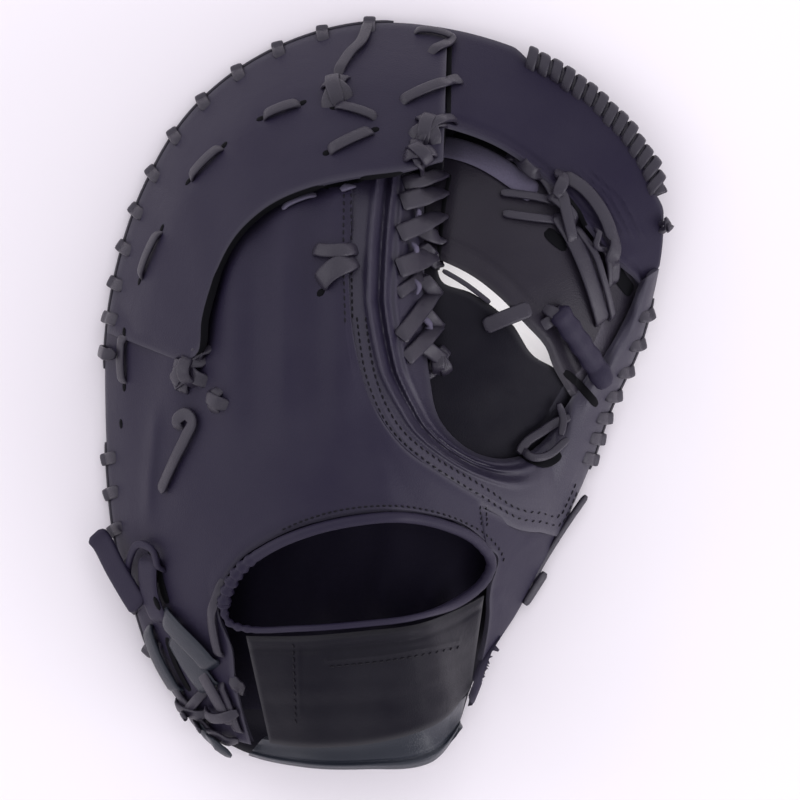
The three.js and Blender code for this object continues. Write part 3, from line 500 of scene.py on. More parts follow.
def put_corners(piece, places):
    """Puts a mesh's corners at drawing places, turned to metres in the model's frame."""
    metres = (np.asarray(places) + np.array([*DRAWING_SHIFT, 0])) * MM
    piece.data.vertices.foreach_set("co", metres.astype(np.float32).ravel())
    piece.data.update()


def apply_modifier(piece, kind, **settings):
    select_only(piece)
    modifier = piece.modifiers.new(kind.title(), kind)
    for name, value in settings.items():
        setattr(modifier, name, value)
    bpy.ops.object.modifier_apply(modifier=modifier.name)


def shade(piece, degrees=40):
    select_only(piece)
    bpy.ops.object.shade_smooth_by_angle(angle=math.radians(degrees))


def joined(name, pieces):
    """Several pieces as one, under one name."""
    bpy.ops.object.select_all(action="DESELECT")
    for piece in pieces:
        piece.select_set(True)
    bpy.context.view_layer.objects.active = pieces[0]
    if len(pieces) > 1:
        bpy.ops.object.join()
    whole = bpy.context.object
    whole.name = name
    whole.data.name = name
    return whole


def finish_piece(piece, material, nodes=()):
    """Gives a piece its material and its body, and hides the nodes that it stands for."""
    piece.data.materials.clear()
    piece.data.materials.append(material)
    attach(piece, "root")
    if nodes:
        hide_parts(*nodes)
    return piece


EDGE_DROOP = 0.5
DROOP_WIDTH = 1.4
WORN_WIDTH = 1.8
ROUNDED_FROM = 55


def leather_panel(name, outer, inner, height, across, along, thickness, relief, round_panel=False):
    """A leather panel between two edges: a grid laid on its heights, thickened and rounded."""
    piece, u, v = new_grid(name, across, along)
    stations = np.linspace(0, 1, len(outer))
    start = np.stack([np.interp(v, stations, outer[:, k]) for k in (0, 1)], axis=1)
    end = np.stack([np.interp(v, stations, inner[:, k]) for k in (0, 1)], axis=1)
    plan = start + (end - start) * u[:, None]
    x, y = plan[:, 0], plan[:, 1]
    width = np.hypot(*(end - start).T)
    length = np.linalg.norm(np.diff((outer + inner) / 2, axis=0), axis=1).sum()
    to_edge = u * width if round_panel else np.minimum.reduce(
        [u * width, (1 - u) * width, v * length, (1 - v) * length])
    z = height(x, y, u, v) + relief(x, y, u, v)
    z = z - EDGE_DROOP * np.exp(-((to_edge / DROOP_WIDTH) ** 2))
    put_corners(piece, np.stack([x, y, z], axis=1))
    worn = piece.data.attributes.new("worn_edge", "FLOAT", "POINT")
    worn.data.foreach_set("value", np.exp(-((to_edge / WORN_WIDTH) ** 2)).astype(np.float32))
    if round_panel:
        in_edit_mode(piece, merge_doubles)
    normals = np.empty(len(piece.data.polygons) * 3, np.float32)
    piece.data.polygons.foreach_get("normal", normals)
    if normals.reshape(-1, 3)[:, 2].mean() < 0:
        piece.data.flip_normals()
    apply_modifier(piece, "SOLIDIFY", thickness=thickness * MM, offset=-1)
    rounding = bpy.context.scene.mitt_sizes.edge_rounding
    apply_modifier(piece, "BEVEL", width=rounding, segments=2, limit_method="ANGLE",
                   angle_limit=math.radians(ROUNDED_FROM))
    shade(piece)
    return piece


class Bed:
    """The top of finished leather, for what lies on it."""

    LOOK_FROM = 0.5
    LOW_GROUND = 0.03

    def __init__(self, *pieces):
        corners = []
        faces = []
        for piece in pieces:
            first = len(corners)
            corners.extend(vertex.co.copy() for vertex in piece.data.vertices)
            faces.extend([first + k for k in face.vertices] for face in piece.data.polygons)
        self.tree = BVHTree.FromPolygons(corners, faces)

    def at(self, x, y):
        """The height in drawing millimetres and the way up, under a drawing place."""
        above = Vector(((x + DRAWING_SHIFT[0]) * MM, (y + DRAWING_SHIFT[1]) * MM, self.LOOK_FROM))
        place, normal, _, _ = self.tree.ray_cast(above, Vector((0, 0, -1)))
        if place is None:
            place, normal, _, _ = self.tree.find_nearest(Vector((above.x, above.y, self.LOW_GROUND)))
        up = np.array(normal if normal.z > 0 else -normal)
        return place.z / MM, up

    def under(self, plan):
        """Heights and ways up under a line of drawing places."""
        found = [self.at(x, y) for x, y in plan]
        return np.array([f[0] for f in found]), np.array([f[1] for f in found])


SQUARENESS = 0.6


def flat_section(width, thickness, sides=12):
    """The rounded flat section of a lace."""
    angle = 2 * math.pi * np.arange(sides) / sides
    side, up = np.cos(angle), np.sin(angle)
    return np.stack([width / 2 * np.sign(side) * np.abs(side) ** SQUARENESS,
                     thickness / 2 * np.sign(up) * np.abs(up) ** SQUARENESS], axis=1)


def round_section(wide, high, sides):
    """An oval section, half its width and half its height given."""
    angle = 2 * np.pi * np.arange(sides) / sides
    return np.stack([wide * np.cos(angle), high * np.sin(angle)], axis=1)


def all_the_way(up, path):
    """The same way up at every point of a path."""
    return np.tile([float(part) for part in up], (len(path), 1))


NEXT_RING = 0.12


def swept(name, path, ups, section, closed=False, ends=0.6):
    """A section swept along a path of drawing places, as one closed mesh."""
    path = np.asarray(path, float)
    ups = np.asarray(ups, float)
    if closed:
        ahead = np.roll(path, -1, axis=0) - np.roll(path, 1, axis=0)
    else:
        ahead = np.gradient(path, axis=0)
    ahead = ahead / np.linalg.norm(ahead, axis=1, keepdims=True)
    side = np.cross(ahead, ups)
    side = side / np.linalg.norm(side, axis=1, keepdims=True)
    up = np.cross(side, ahead)
    sections = np.broadcast_to(section, (len(path), *np.shape(section)[-2:])).copy()
    if not closed:
        for ring, scale in ((0, ends), (1, (1 + ends) / 2 + NEXT_RING)):
            sections[ring] *= scale
            sections[-1 - ring] *= scale
    rings = (path[:, None] + side[:, None] * sections[..., :1] + up[:, None] * sections[..., 1:])
    if closed:
        rings = np.concatenate([rings, rings[:1]])
    count, sides = rings.shape[:2]
    piece, u, v = new_grid(name, sides, count - 1)
    ring = np.rint(v * (count - 1)).astype(int)
    corner = np.rint(u * sides).astype(int) % sides
    put_corners(piece, rings[ring, corner])
    in_edit_mode(piece, merge_and_close)
    shade(piece, 60)
    return piece


def settle(values, passes=2):
    """Neighbours averaged along a path, so that it runs smoothly."""
    values = np.array(values, float)
    for _ in range(passes):
        values[1:-1] = (values[:-2] + 2 * values[1:-1] + values[2:]) / 4
    return values


def lace_size():
    """The lace's width and thickness in drawing millimetres."""
    sizes = bpy.context.scene.mitt_sizes
    return sizes.lace_width / MM, sizes.lace_thickness / MM


LACE_CLEARANCE = 0.05
DIP_LENGTH = 3.4
DIP_DEPTH = 0.9


def laid_lace(name, rows, bed, arch, sink=(1, 1), rise=0.0, width=None, thickness=None, spacing=1.2):
    """A lace on the leather; where it goes into a hole its end sinks in."""
    lace_width, lace_thickness = lace_size()
    width = width or lace_width
    thickness = thickness or lace_thickness
    plan = even_line(smooth_line(rows, LACE_STEPS), spacing)
    share = np.linspace(0, 1, len(plan))
    height, ups = bed.under(plan)
    ups = settle(ups, 3)
    ups = ups / np.linalg.norm(ups, axis=1, keepdims=True)
    dip = DIP_LENGTH / (len(plan) * spacing)
    lift = thickness / 2 + LACE_CLEARANCE + rise + arch * np.sin(np.pi * share)
    for depth, from_end in zip(sink, (share, 1 - share)):
        lift = lift - depth * (thickness + DIP_DEPTH) * (1 - smooth_step(from_end / dip))
    path = np.column_stack([plan, settle(height)]) + ups * lift[:, None]
    return swept(name, path, ups, flat_section(width, thickness))


BAND_SWAY = 0.12
BAND_RISE = 0.35
BAND_ARCH = 0.9


def tie(name, middle, bed, bands, width):
    """A pulled knot: short bands of lace laid over one another, lowest first."""
    _, thickness = lace_size()
    parts = []
    for k, (turn, length, arch) in enumerate(bands):
        ahead = np.array([math.cos(math.radians(turn)), math.sin(math.radians(turn))]) * length / 2
        side = np.array([-ahead[1], ahead[0]]) * BAND_SWAY * (-1) ** k
        rows = [np.array(middle) - ahead, np.array(middle) + side, np.array(middle) + ahead]
        parts.append(laid_lace(f"{name}_{k}", rows, bed, arch=arch + BAND_ARCH * k, width=width,
                               rise=BAND_RISE * thickness * k, spacing=0.9))
    return joined(name, parts)


def repeated(name, middles, aheads, size, bed, rise=0.0):
    """One small rounded shape, modelled once and repeated at places on the leather."""
    bpy.ops.object.select_all(action="DESELECT")
    bpy.ops.mesh.primitive_uv_sphere_add(segments=8, ring_count=5, radius=1)
    model = bpy.context.object
    shape = np.array([vertex.co[:] for vertex in model.data.vertices]) * np.array(size)
    faces = [list(face.vertices) for face in model.data.polygons]
    bpy.data.objects.remove(model)
    height, ups = bed.under(middles)
    corners = []
    polygons = []
    for k, middle in enumerate(middles):
        up = ups[k]
        ahead = np.array([*aheads[k], 0.0])
        ahead = ahead - up * (ahead @ up)
        ahead = ahead / np.linalg.norm(ahead)
        side = np.cross(ahead, up)
        centre = np.array([*middle, height[k]]) + up * rise
        polygons.extend([k * len(shape) + c for c in face] for face in faces)
        corners.extend(centre + shape[:, :1] * side + shape[:, 1:2] * ahead + shape[:, 2:] * up)
    mesh = bpy.data.meshes.new(name)
    mesh.from_pydata([tuple(c) for c in corners], [], polygons)
    piece = bpy.data.objects.new(name, mesh)
    bpy.context.collection.objects.link(piece)
    put_corners(piece, np.array(corners))
    shade(piece, 80)
    return piece


def stitch_row(name, line, bed, pitch=None, rise=0.12):
    """A row of stitches along a line on the leather."""
    sizes = bpy.context.scene.mitt_sizes
    pitch = pitch or sizes.stitch_pitch / MM
    radius = sizes.thread_radius / MM
    plan = even_line(np.asarray(line, float), pitch)
    return repeated(name, (plan[:-1] + plan[1:]) / 2, plan[1:] - plan[:-1],
                    (radius, pitch * 0.36, radius), bed, rise)


# Materials

def add_node(tree, kind, settings=None, values=None, links=None):
    """One node with its settings, its sockets' values and the sockets linked into it."""
    node = tree.nodes.new(kind)
    for name, value in (settings or {}).items():
        setattr(node, name, value)
    for name, value in (values or {}).items():
        node.inputs[name].default_value = value
    for name, socket in (links or {}).items():
        tree.links.new(socket, node.inputs[name])
    return node


def lighter(colour, amount):
    return tuple(c + (1 - c) * amount for c in colour)


CLOUD_MM = 35
CLOUDINESS = 0.018


def leather_material(name, colour, roughness, shine, grain_mm=1.1, grain_depth_mm=0.05, crease_mm=16,
                     crease_depth_mm=0.3, wear=0.035, coat=0.0):
    """Full-grain cowhide: fine pebbled grain, soft creases, cloudy dye and paler worn edges."""
    material = bpy.data.materials.new(name)
    material.use_nodes = True
    tree = material.node_tree
    tree.nodes.clear()
    place = add_node(tree, "ShaderNodeTexCoord").outputs["Object"]
    cloud = add_node(tree, "ShaderNodeTexNoise", values={"Scale": 1 / (CLOUD_MM * MM), "Detail": 3.0},
                     links={"Vector": place})
    creases = add_node(tree, "ShaderNodeTexNoise",
                       values={"Scale": 1 / (crease_mm * MM), "Detail": 5.0, "Distortion": 0.6},
                       links={"Vector": place})
    grain = add_node(tree, "ShaderNodeTexVoronoi", settings={"feature": "DISTANCE_TO_EDGE"},
                     values={"Scale": 1 / (grain_mm * MM), "Randomness": 1.0}, links={"Vector": place})
    pore = add_node(tree, "ShaderNodeMapRange", values={"From Max": 0.25}, links={"Value": grain.outputs[0]})
    worn = add_node(tree, "ShaderNodeAttribute", settings={"attribute_name": "worn_edge"})
    dye = add_node(tree, "ShaderNodeMix", settings={"data_type": "RGBA"},
                   values={"A": (*colour, 1), "B": (*lighter(colour, CLOUDINESS), 1)},
                   links={"Factor": cloud.outputs["Fac"]})
    edge = add_node(tree, "ShaderNodeMix", settings={"data_type": "RGBA"},
                    values={"B": (*lighter(colour, wear), 1)},
                    links={"A": dye.outputs["Result"], "Factor": worn.outputs["Fac"]})
    polish = add_node(tree, "ShaderNodeMapRange",
                      values={"From Min": 0.3, "From Max": 0.7, "To Min": roughness - 0.06,
                              "To Max": roughness + 0.07},
                      links={"Value": cloud.outputs["Fac"]})
    folds = add_node(tree, "ShaderNodeBump", values={"Distance": crease_depth_mm * MM, "Strength": 1.0},
                     links={"Height": creases.outputs["Fac"]})
    pebbles = add_node(tree, "ShaderNodeBump", values={"Distance": grain_depth_mm * MM, "Strength": 1.0},
                       links={"Height": pore.outputs["Result"], "Normal": folds.outputs["Normal"]})
    shader = add_node(tree, "ShaderNodeBsdfPrincipled",
                      values={"IOR": 1.5, "Specular IOR Level": shine, "Coat Weight": coat,
                              "Coat Roughness": 0.25},
                      links={"Base Color": edge.outputs["Result"], "Roughness": polish.outputs["Result"],
                             "Normal": pebbles.outputs["Normal"]})
    add_node(tree, "ShaderNodeOutputMaterial", links={"Surface": shader.outputs["BSDF"]})
    return material


def plain_material(name, colour, roughness, texture_mm, depth_mm):
    """Lining, thread, and the pale strips and dark patches of painted light and shade: one colour with a fine
    fibrous surface.
    """
    material = bpy.data.materials.new(name)
    material.use_nodes = True
    tree = material.node_tree
    tree.nodes.clear()
    place = add_node(tree, "ShaderNodeTexCoord").outputs["Object"]
    fibre = add_node(tree, "ShaderNodeTexNoise", values={"Scale": 1 / (texture_mm * MM), "Detail": 2.0},
                     links={"Vector": place})
    shades = add_node(tree, "ShaderNodeMix", settings={"data_type": "RGBA"},
                      values={"A": (*(c * 0.8 for c in colour), 1), "B": (*(c * 1.2 for c in colour), 1)},
                      links={"Factor": fibre.outputs["Fac"]})
    nap = add_node(tree, "ShaderNodeBump", values={"Distance": depth_mm * MM, "Strength": 1.0},
                   links={"Height": fibre.outputs["Fac"]})
    shader = add_node(tree, "ShaderNodeBsdfPrincipled",
                      values={"Roughness": roughness, "IOR": 1.45, "Specular IOR Level": 0.2},
                      links={"Base Color": shades.outputs["Result"], "Normal": nap.outputs["Normal"]})
    add_node(tree, "ShaderNodeOutputMaterial", links={"Surface": shader.outputs["BSDF"]})
    return material


def materials():
    """The mitt's materials, made on first use."""
    if "cowhide" not in bpy.data.materials:
        colours = bpy.context.scene.mitt_colours
        leather = tuple(colours.leather)
        pocket = tuple(colours.pocket)
        # Dyed cowhide of the back: purplish black, satin, with broad soft lights
        leather_material("cowhide", leather, 0.5, shine=0.2)
        # The same hide stretched round the crotch: smoother, with clear lights on its rolls
        leather_material("facing_cowhide", leather, 0.42, shine=0.42)
        # The same hide on the web's upper panel: duller and darker
        leather_material("web_top_cowhide", leather, 0.52, shine=0.13)
        # Oiled cowhide of the pocket, its colour darkened as painted shade: nearly black and almost without
        # lights
        leather_material("pocket_painted_shade_cowhide", pocket, 0.44, crease_mm=22, shine=0.04)
        # Oiled cowhide of the wrist strap: as dark, with close creases from bending
        leather_material("strap_cowhide", pocket, 0.36, crease_mm=12, shine=0.06)
        # Oiled cowhide of the web's lower panel: dark, with one soft light along its roll
        leather_material("web_cowhide", tuple(colours.web), 0.36, shine=0.2)
        # Finished cowhide of the heel band: bluish and glossy
        leather_material("band_cowhide", tuple(colours.band), 0.3, crease_mm=24, coat=0.1, shine=0.25)
        # Waxed rawhide lace: finer grain, close creases, a bright line along each turn
        leather_material("waxed_rawhide", tuple(colours.lace), 0.33, grain_mm=0.8, crease_mm=5,
                         crease_depth_mm=0.15, wear=0.05, shine=0.4)
        # Painted light: pale matt strips between panels that stand for highlights and glimpses of the lit
        # floor
        plain_material("pale_painted_light", tuple(colours.pale), 0.6, texture_mm=0.8, depth_mm=0.1)
        # Brushed cloth lining: dark and matt
        plain_material("soft_lining", tuple(colours.lining), 0.85, texture_mm=1.2, depth_mm=0.2)
        # Painted shade: black, for the insides of holes and the gaps under leather edges
        plain_material("hole_shade", tuple(colours.shade), 0.9, texture_mm=1.0, depth_mm=0.05)
        # Bonded nylon thread: dark, each stitch with a small light
        plain_material("nylon_thread", tuple(colours.thread), 0.5, texture_mm=0.3, depth_mm=0.05)
    return bpy.data.materials


# Leather pieces

# The crescent's laces, from hole to hole, as x and y twice
FINGER_LACES = (
    (-53.5, 119.5, -36, 126),
    (-85, 92.5, -70, 107.5),
    (-106.5, 49.5, -97, 71.5),
    (-113.5, 3.5, -113.5, 26.5),
    (-25, 104, -4.5, 114),
)
CRESCENT_LIFT = 3.6
CRESCENT_LIP = 2.6
CRESCENT_LENGTH = 340
PARED_DEPTH = 3.0
PARED_LENGTH = 9
HOLE_DENT = 0.8
HOLE_DENT_REACH = 3.2
FINGER_STALLS = 4.5


def crescent_height(x, y, across, along):
    """The crescent starts on the rim and rises over the panel that it laps, with a raised lip."""
    lift = CRESCENT_LIFT * np.maximum(smooth_step(across / 0.45), smooth_step((along - 0.93) / 0.06))
    lip = CRESCENT_LIP * across**3 * (1 - smooth_step((along - 0.8) / 0.2))
    return offset_height(back_height, x, y, lift) + lip


def crescent_relief(x, y, across, along):
    """Dents at the lace holes, the swell of each finger stall and a pared lower end."""
    dents = sum(-HOLE_DENT * np.exp(-(((x - a) ** 2 + (y - b) ** 2) / HOLE_DENT_REACH**2))
                for row in FINGER_LACES for a, b in (row[:2], row[2:]))
    stalls = 0.8 * np.sin(np.pi * across) * np.cos(along * 2 * np.pi * FINGER_STALLS)
    pared = -PARED_DEPTH * np.exp(-(((1 - along) * CRESCENT_LENGTH / PARED_LENGTH) ** 2))
    return dents + stalls + pared


def make_finger_back():
    rows = np.array(CRESCENT_ROWS, float)
    inner = smooth_line(rows[:, 1:], LINE_STEPS)
    degs = smooth_line(np.column_stack([rows[:, 0], np.zeros(len(rows))]), LINE_STEPS)[:, 0]
    outer = rim_point(degs)
    piece = leather_panel("finger_back_leather", outer, inner, crescent_height, across=44, along=200,
                          thickness=BACK_THICKNESS, relief=crescent_relief)
    return finish_piece(piece, materials()["cowhide"], ["finger_back"])


def on_back(x, y, across, along):
    """A panel that follows the dome of the back."""
    return back_height(x, y)


def skived(x, y, line, depth, width=3.0):
    """Leather pared down towards a lapped seam."""
    gap, _ = distance_to_line(x, y, line)
    return -depth * np.exp(-((gap / width) ** 2))


HAND_FOLDS = (
    # line, height, width, share of the line over which it fades
    ([(-98, 0), (-100.3, -15.7), (-102.5, -37.5), (-103.8, -61.5)], 2.8, 3.0, 0.3),
    ([(-92, 0), (-94, -20), (-96, -45), (-97, -66)], -1.2, 5, 0.3),
    ([(-80, 4), (-83, -12), (-88, -28)], -0.9, 6, 0.15),
    ([(-17.5, 90), (-17.5, 60), (-17, 30), (-13.5, 5)], 0.5, 0.9, 0.15),
    ([(-14.3, 90), (-14.3, 60), (-13.8, 30), (-10.3, 5)], 0.5, 0.9, 0.15),
    ([(x, y - 1.5) for _, x, y in CRESCENT_ROWS[1:]], -3.4, 2.6, 0.04),
)


def hand_relief(x, y, across, along):
    """Pared edges, folds and a seam, the ribs over the stalls and a rolled lower edge."""
    pared = skived(x, y, [row[:2] for row in HAND_ROWS[:7]], 1.5)
    pared = np.minimum(pared, skived(x, y, [HAND_ROWS[0][:2], HAND_ROWS[0][2:]], 1.2))
    stalls = 1.5 * np.sin(x / 3.9) * smooth_step((y + 40) / 50) * smooth_step((60 - x) / 40)
    rolled = 0.9 * bump(across, 0.97, 0.035)
    return pared + stalls + rolled + folds(x, y, HAND_FOLDS)


def make_hand_back():
    rows = np.array(HAND_ROWS, float)
    outer = near_rim_on_rim(smooth_line(rows[:, :2], LINE_STEPS))
    inner = smooth_line(rows[:, 2:], LINE_STEPS)
    piece = leather_panel("hand_back_leather", outer, inner, on_back, across=80, along=260,
                          thickness=BACK_THICKNESS, relief=hand_relief)
    return finish_piece(piece, materials()["cowhide"], ["hand_back"])


# How far the thumb panel is drawn under the hand panel, and its length
THUMB_TUCK = 4
THUMB_LENGTH = 150
THUMB_FOLDS = (
    # line, height, width, share of the line over which it fades
    ([(60, -62), (72, -72), (80, -66)], 1.0, 4, 0.15),
    ([(48, -84), (54, -98), (46, -118)], 0.8, 3, 0.15),
)


def thumb_relief(x, y, across, along):
    """A pared upper edge, an end that dips under the hand panel and two folds."""
    pared = skived(x, y, [row[:2] for row in THUMB_ROWS[:5]], 1.5)
    lapped = -2.8 * (1 - smooth_step(along * THUMB_LENGTH / 5))
    return np.minimum(pared, lapped) + folds(x, y, THUMB_FOLDS)


def make_thumb_back():
    rows = np.array(THUMB_ROWS, float)
    rows[0, [0, 2]] -= THUMB_TUCK
    outer = near_rim_on_rim(smooth_line(rows[:, :2], LINE_STEPS))
    inner = smooth_line(rows[:, 2:], LINE_STEPS)
    piece = leather_panel("thumb_back_leather", outer, inner, on_back, across=40, along=140,
                          thickness=BACK_THICKNESS, relief=thumb_relief)
    return finish_piece(piece, materials()["cowhide"], ["thumb_back"])


# How deep the facing's lap lies under the back, and how far it reaches
LAP_DEPTH = BACK_THICKNESS + SEAT_GAP + SEWN_GAP
LAP_REACH = 3.2
SEAM_STEPS = 352
TIP_STEPS = 144
TIP_FROM_DEG = -21.5
TIP_TO_DEG = 25


def facing_seam():
    """The seam round the crotch and the facing's inner edge."""
    rows = np.array(FACING_ROWS, float)
    tip = np.linspace(TIP_FROM_DEG, TIP_TO_DEG, TIP_STEPS + 1)[1:]
    outer = np.vstack([smooth_line(rows[:, :2], SEAM_STEPS), rim_point(tip)])
    inner = np.vstack([smooth_line(rows[:, 2:], SEAM_STEPS), smooth_line(THUMB_TIP_EDGE, TIP_STEPS)[1:]])
    return near_rim_on_rim(outer), inner


def facing_edges():
    """The same edges with the lap that is sewn under or over the back panels."""
    outer, inner = facing_seam()
    along = np.linspace(0, 1, len(outer))
    outward = outer - inner
    outward = outward / np.linalg.norm(outward, axis=1, keepdims=True)
    lap = LAP_REACH * (1 - smooth_step((along - 0.62) / 0.06))
    return outer + outward * lap[:, None], inner


def facing_height(x, y, across, along, inner):
    """The facing goes down from the back to the web, the pocket and the thumb's rim."""
    stations = np.linspace(0, 1, len(inner))
    end_x, end_y = (np.interp(along, stations, inner[:, k]) for k in (0, 1))
    on_palm = smooth_step((along - 0.26) / 0.14)
    on_thumb = smooth_step((along - 0.45) / 0.15)
    web_seat = web_height(end_x, end_y) + 1
    palm_seat = palm_height(end_x, end_y) + 1.6 + 2.4 * on_thumb
    seat = web_seat + (palm_seat - web_seat) * on_palm
    lap = LAP_DEPTH * (1 - smooth_step((along - 0.5) / 0.08))
    fall = offset_height(back_height, end_x, end_y, -lap) - seat
    return offset_height(back_height, x, y, -lap) - fall * across**2.4


# Where the facing's main roll runs: shares along and across
ROLL_PLACES = ((0, 0.42), (0.05, 0.41), (0.184, 0.3), (0.27, 0.38), (0.33, 0.5), (0.42, 0.56), (0.55, 0.6))
# The rolls and the grooves between them: height, distance from the main roll, width
ROLLS = ((3.6, 0, 0.055), (-2.6, 0.12, 0.045), (1.8, 0.2, 0.035), (-1.1, 0.275, 0.035), (0.9, 0.34, 0.035))


def facing_relief(x, y, across, along):
    """The rolls beside the web, the lap on the thumb, two ribs under the stitches and gathers."""
    here = smooth_step((along + 0.02) / 0.05) * (1 - smooth_step((along - 0.48) / 0.14))
    step = across - np.interp(along, *zip(*ROLL_PLACES))
    rolls = sum(height * bump(step, middle, width) for height, middle, width in ROLLS)
    on_thumb = smooth_step((along - 0.5) / 0.05) * (1 - smooth_step((along - 0.66) / 0.06))
    lapped = 2.0 * on_thumb * np.exp(-((across / 0.16) ** 2))
    ribs = 0.45 * (bump(across, 0.15, 0.02) + bump(across, 0.245, 0.02))
    ribs = ribs * smooth_step((along - 0.25) / 0.05) * (1 - smooth_step((along - 0.66) / 0.06))
    gathers = 0.7 * smooth_step((along - 0.5) / 0.1) * np.sin(along * 80) * smooth_step((across - 0.6) / 0.3)
    return here * rolls + lapped + ribs + gathers


def make_crotch_facing():
    outer, inner = facing_edges()
    piece = leather_panel("crotch_facing_leather", outer, inner,
                          lambda x, y, across, along: facing_height(x, y, across, along, inner),
                          across=60, along=260, thickness=BACK_THICKNESS, relief=facing_relief)
    return finish_piece(piece, materials()["facing_cowhide"], ["crotch_facing"])


# Where lace is wound round the web's edge, and how far the leather draws back there
WRAP_INSET = 5.5
WRAP_FROM_DEG = 66
WRAP_TO_DEG = 35
WEB_TOP_FROM_DEG = 79.5
WEB_TOP_TO_DEG = 25.4
WEB_TOP_FOLDS = (
    # line, height, width, share of the line over which it fades
    ([(80, 99), (95, 86), (106, 66)], 0.9, 0.9, 0.15),
    ([(83.4, 99), (98.4, 86), (109.4, 66)], 0.9, 0.9, 0.15),
    ([(88, 99), (103, 86), (114, 66)], 0.9, 0.9, 0.15),
    ([(84, 76), (96, 66), (110, 56)], 1.6, 3, 0.15),
)


def web_top_height(x, y, across, along):
    """The web's upper panel leaves the back at the seam and falls to the web."""
    seam_share = 1 - smooth_step(along / 0.4)
    web = web_height(x, y)
    return web + (back_height(x, y) - web) * seam_share


def web_top_relief(x, y, across, along):
    """Fine folds, a rolled lower edge, a tucked end and a slight sag."""
    lower = 1.6 * bump(across, 0.955, 0.035) - 1.0 * bump(across, 0.88, 0.03)
    tucked = -3.1 * (1 - smooth_step((along - 0.03) / 0.05))
    sag = -1.5 * np.sin(np.pi * across) * bump(along, 0.6, 0.3)
    return folds(x, y, WEB_TOP_FOLDS) + lower * smooth_step((along - 0.06) / 0.05) + sag + tucked


def make_web_top():
    degs = np.linspace(WEB_TOP_FROM_DEG, WEB_TOP_TO_DEG, LINE_STEPS + 1)
    wrapped = smooth_step((WRAP_FROM_DEG - degs) / 4 + 0.5) * smooth_step((degs - WRAP_TO_DEG) / 4 + 0.5)
    outer = rim_point(degs, RIM_INSET + (WRAP_INSET - RIM_INSET) * wrapped)
    inner = smooth_line(WEB_TOP_EDGE, LINE_STEPS)
    piece = leather_panel("web_top_leather", outer, inner, web_top_height, across=44, along=150,
                          thickness=WEB_THICKNESS, relief=web_top_relief)
    return finish_piece(piece, materials()["web_top_cowhide"], ["web_top"])


def web_mid_height(x, y, across, along):
    """The web's lower panel, whose outer edge lies under the upper one."""
    under = WEB_THICKNESS + SEAT_GAP + 0.7
    return web_height(x, y) - under * (1 - smooth_step(across * 2))


def web_mid_relief(x, y, across, along):
    """A rolled edge with its groove, a sag and a tucked end."""
    rolled = 1.6 * bump(across, 0.94, 0.05)
    groove = -0.8 * bump(across, 0.84, 0.03)
    sag = -1.2 * np.sin(np.pi * across) * np.sin(np.pi * along)
    tucked = -2.4 * (1 - smooth_step((along - 0.03) / 0.06))
    return rolled + groove + sag + tucked


def make_web_mid():
    rows = np.array(WEB_MID_ROWS, float)
    piece = leather_panel("web_mid_leather", smooth_line(rows[:, :2], LINE_STEPS),
                          smooth_line(rows[:, 2:], LINE_STEPS), web_mid_height, across=50, along=120,
                          thickness=WEB_THICKNESS, relief=web_mid_relief)
    return finish_piece(piece, materials()["web_cowhide"], ["web_mid"])


PALM_FROM_DEG = 77.5
PALM_TO_DEG = 358
PALM_RIM_STEPS = 340
PALM_WEB_STEPS = 140
PALM_FOLDS = (
    # line, height, width, share of the line over which it fades
    ([(73, 9), (63, 17), (53, 30), (36.5, 42), (25, 47)], 0.9, 1.6, 0.15),
    ([(70, 6), (66, -6), (60, -14)], 0.7, 5, 0.15),
    ([(56, 2), (50, -8), (40, -14)], -0.6, 6, 0.15),
)


def palm_edge():
    """The palm's outline: the rim, and the edge that the web leaves free."""
    degs = np.linspace(PALM_FROM_DEG, PALM_TO_DEG, PALM_RIM_STEPS + 1)
    edge = np.vstack([rim_point(degs), smooth_line(PALM_WEB_EDGE, PALM_WEB_STEPS)])
    return np.vstack([edge, edge[:1]])


def palm_relief(x, y, across, along):
    """A raised edge at the slit and shallow creases in the pocket."""
    return folds(x, y, PALM_FOLDS)


def make_palm():
    """The palm, with no corner below the ground that it lies on."""
    edge = palm_edge()
    crown = np.tile(np.array(CENTRE), (len(edge), 1))
    piece = leather_panel("palm_leather", edge, crown, lambda x, y, across, along: palm_height(x, y),
                          across=64, along=340, thickness=PALM_THICKNESS, relief=palm_relief,
                          round_panel=True)
    corners = np.empty(len(piece.data.vertices) * 3, np.float32)
    piece.data.vertices.foreach_get("co", corners)
    corners = corners.reshape(-1, 3)
    corners[:, 2] = np.maximum(corners[:, 2], 0)
    piece.data.vertices.foreach_set("co", corners.ravel())
    piece.data.update()
    # The palm's colour is darkened as painted shade for the pocket
    return finish_piece(piece, materials()["pocket_painted_shade_cowhide"], ["palm"])


LINING_TOP = -48
LINING_LENGTH = 90
LINING_ABOVE_PALM = 1.6
LINING_THICKNESS = 1.2


def lining_height(x, y, across, along):
    return palm_height(x, y) + LINING_ABOVE_PALM


def lining_relief(x, y, across, along):
    """Three swells under the fingers and a fine weave of ribs."""
    stalls = sum(bump(x, middle, 6) * bump(y, -90, 13) for middle in (-27, -2, 20))
    return 6 * stalls + 0.5 * np.sin(x / 3.4)


def make_lining():
    """The lining on the inside of the palm, seen in the wrist opening."""
    steps = np.linspace(0, 1, 60)
    down = LINING_TOP - LINING_LENGTH * steps
    outer = np.column_stack([-74 + 12 * steps**3, down])
    inner = np.column_stack([46 - 14 * steps**2, down])
    piece = leather_panel("wrist_lining", outer, inner, lining_height, across=60, along=60,
                          thickness=LINING_THICKNESS, relief=lining_relief)
    return finish_piece(piece, materials()["soft_lining"])


STRAP_SWELL = 2.5
STRAP_PIPING = [(-26, -115), (0, -112.5), (33, -107)]
STRAP_SEWN_LINE = [(-37.5, -106), (-37, -125), (-36.5, -141)]


def strap_height(x, y, across, along):
    """The strap swells where it crosses the wrist."""
    return back_height(x, y) + STRAP_SWELL * np.sin(np.pi * np.minimum(across / 0.625, 1))


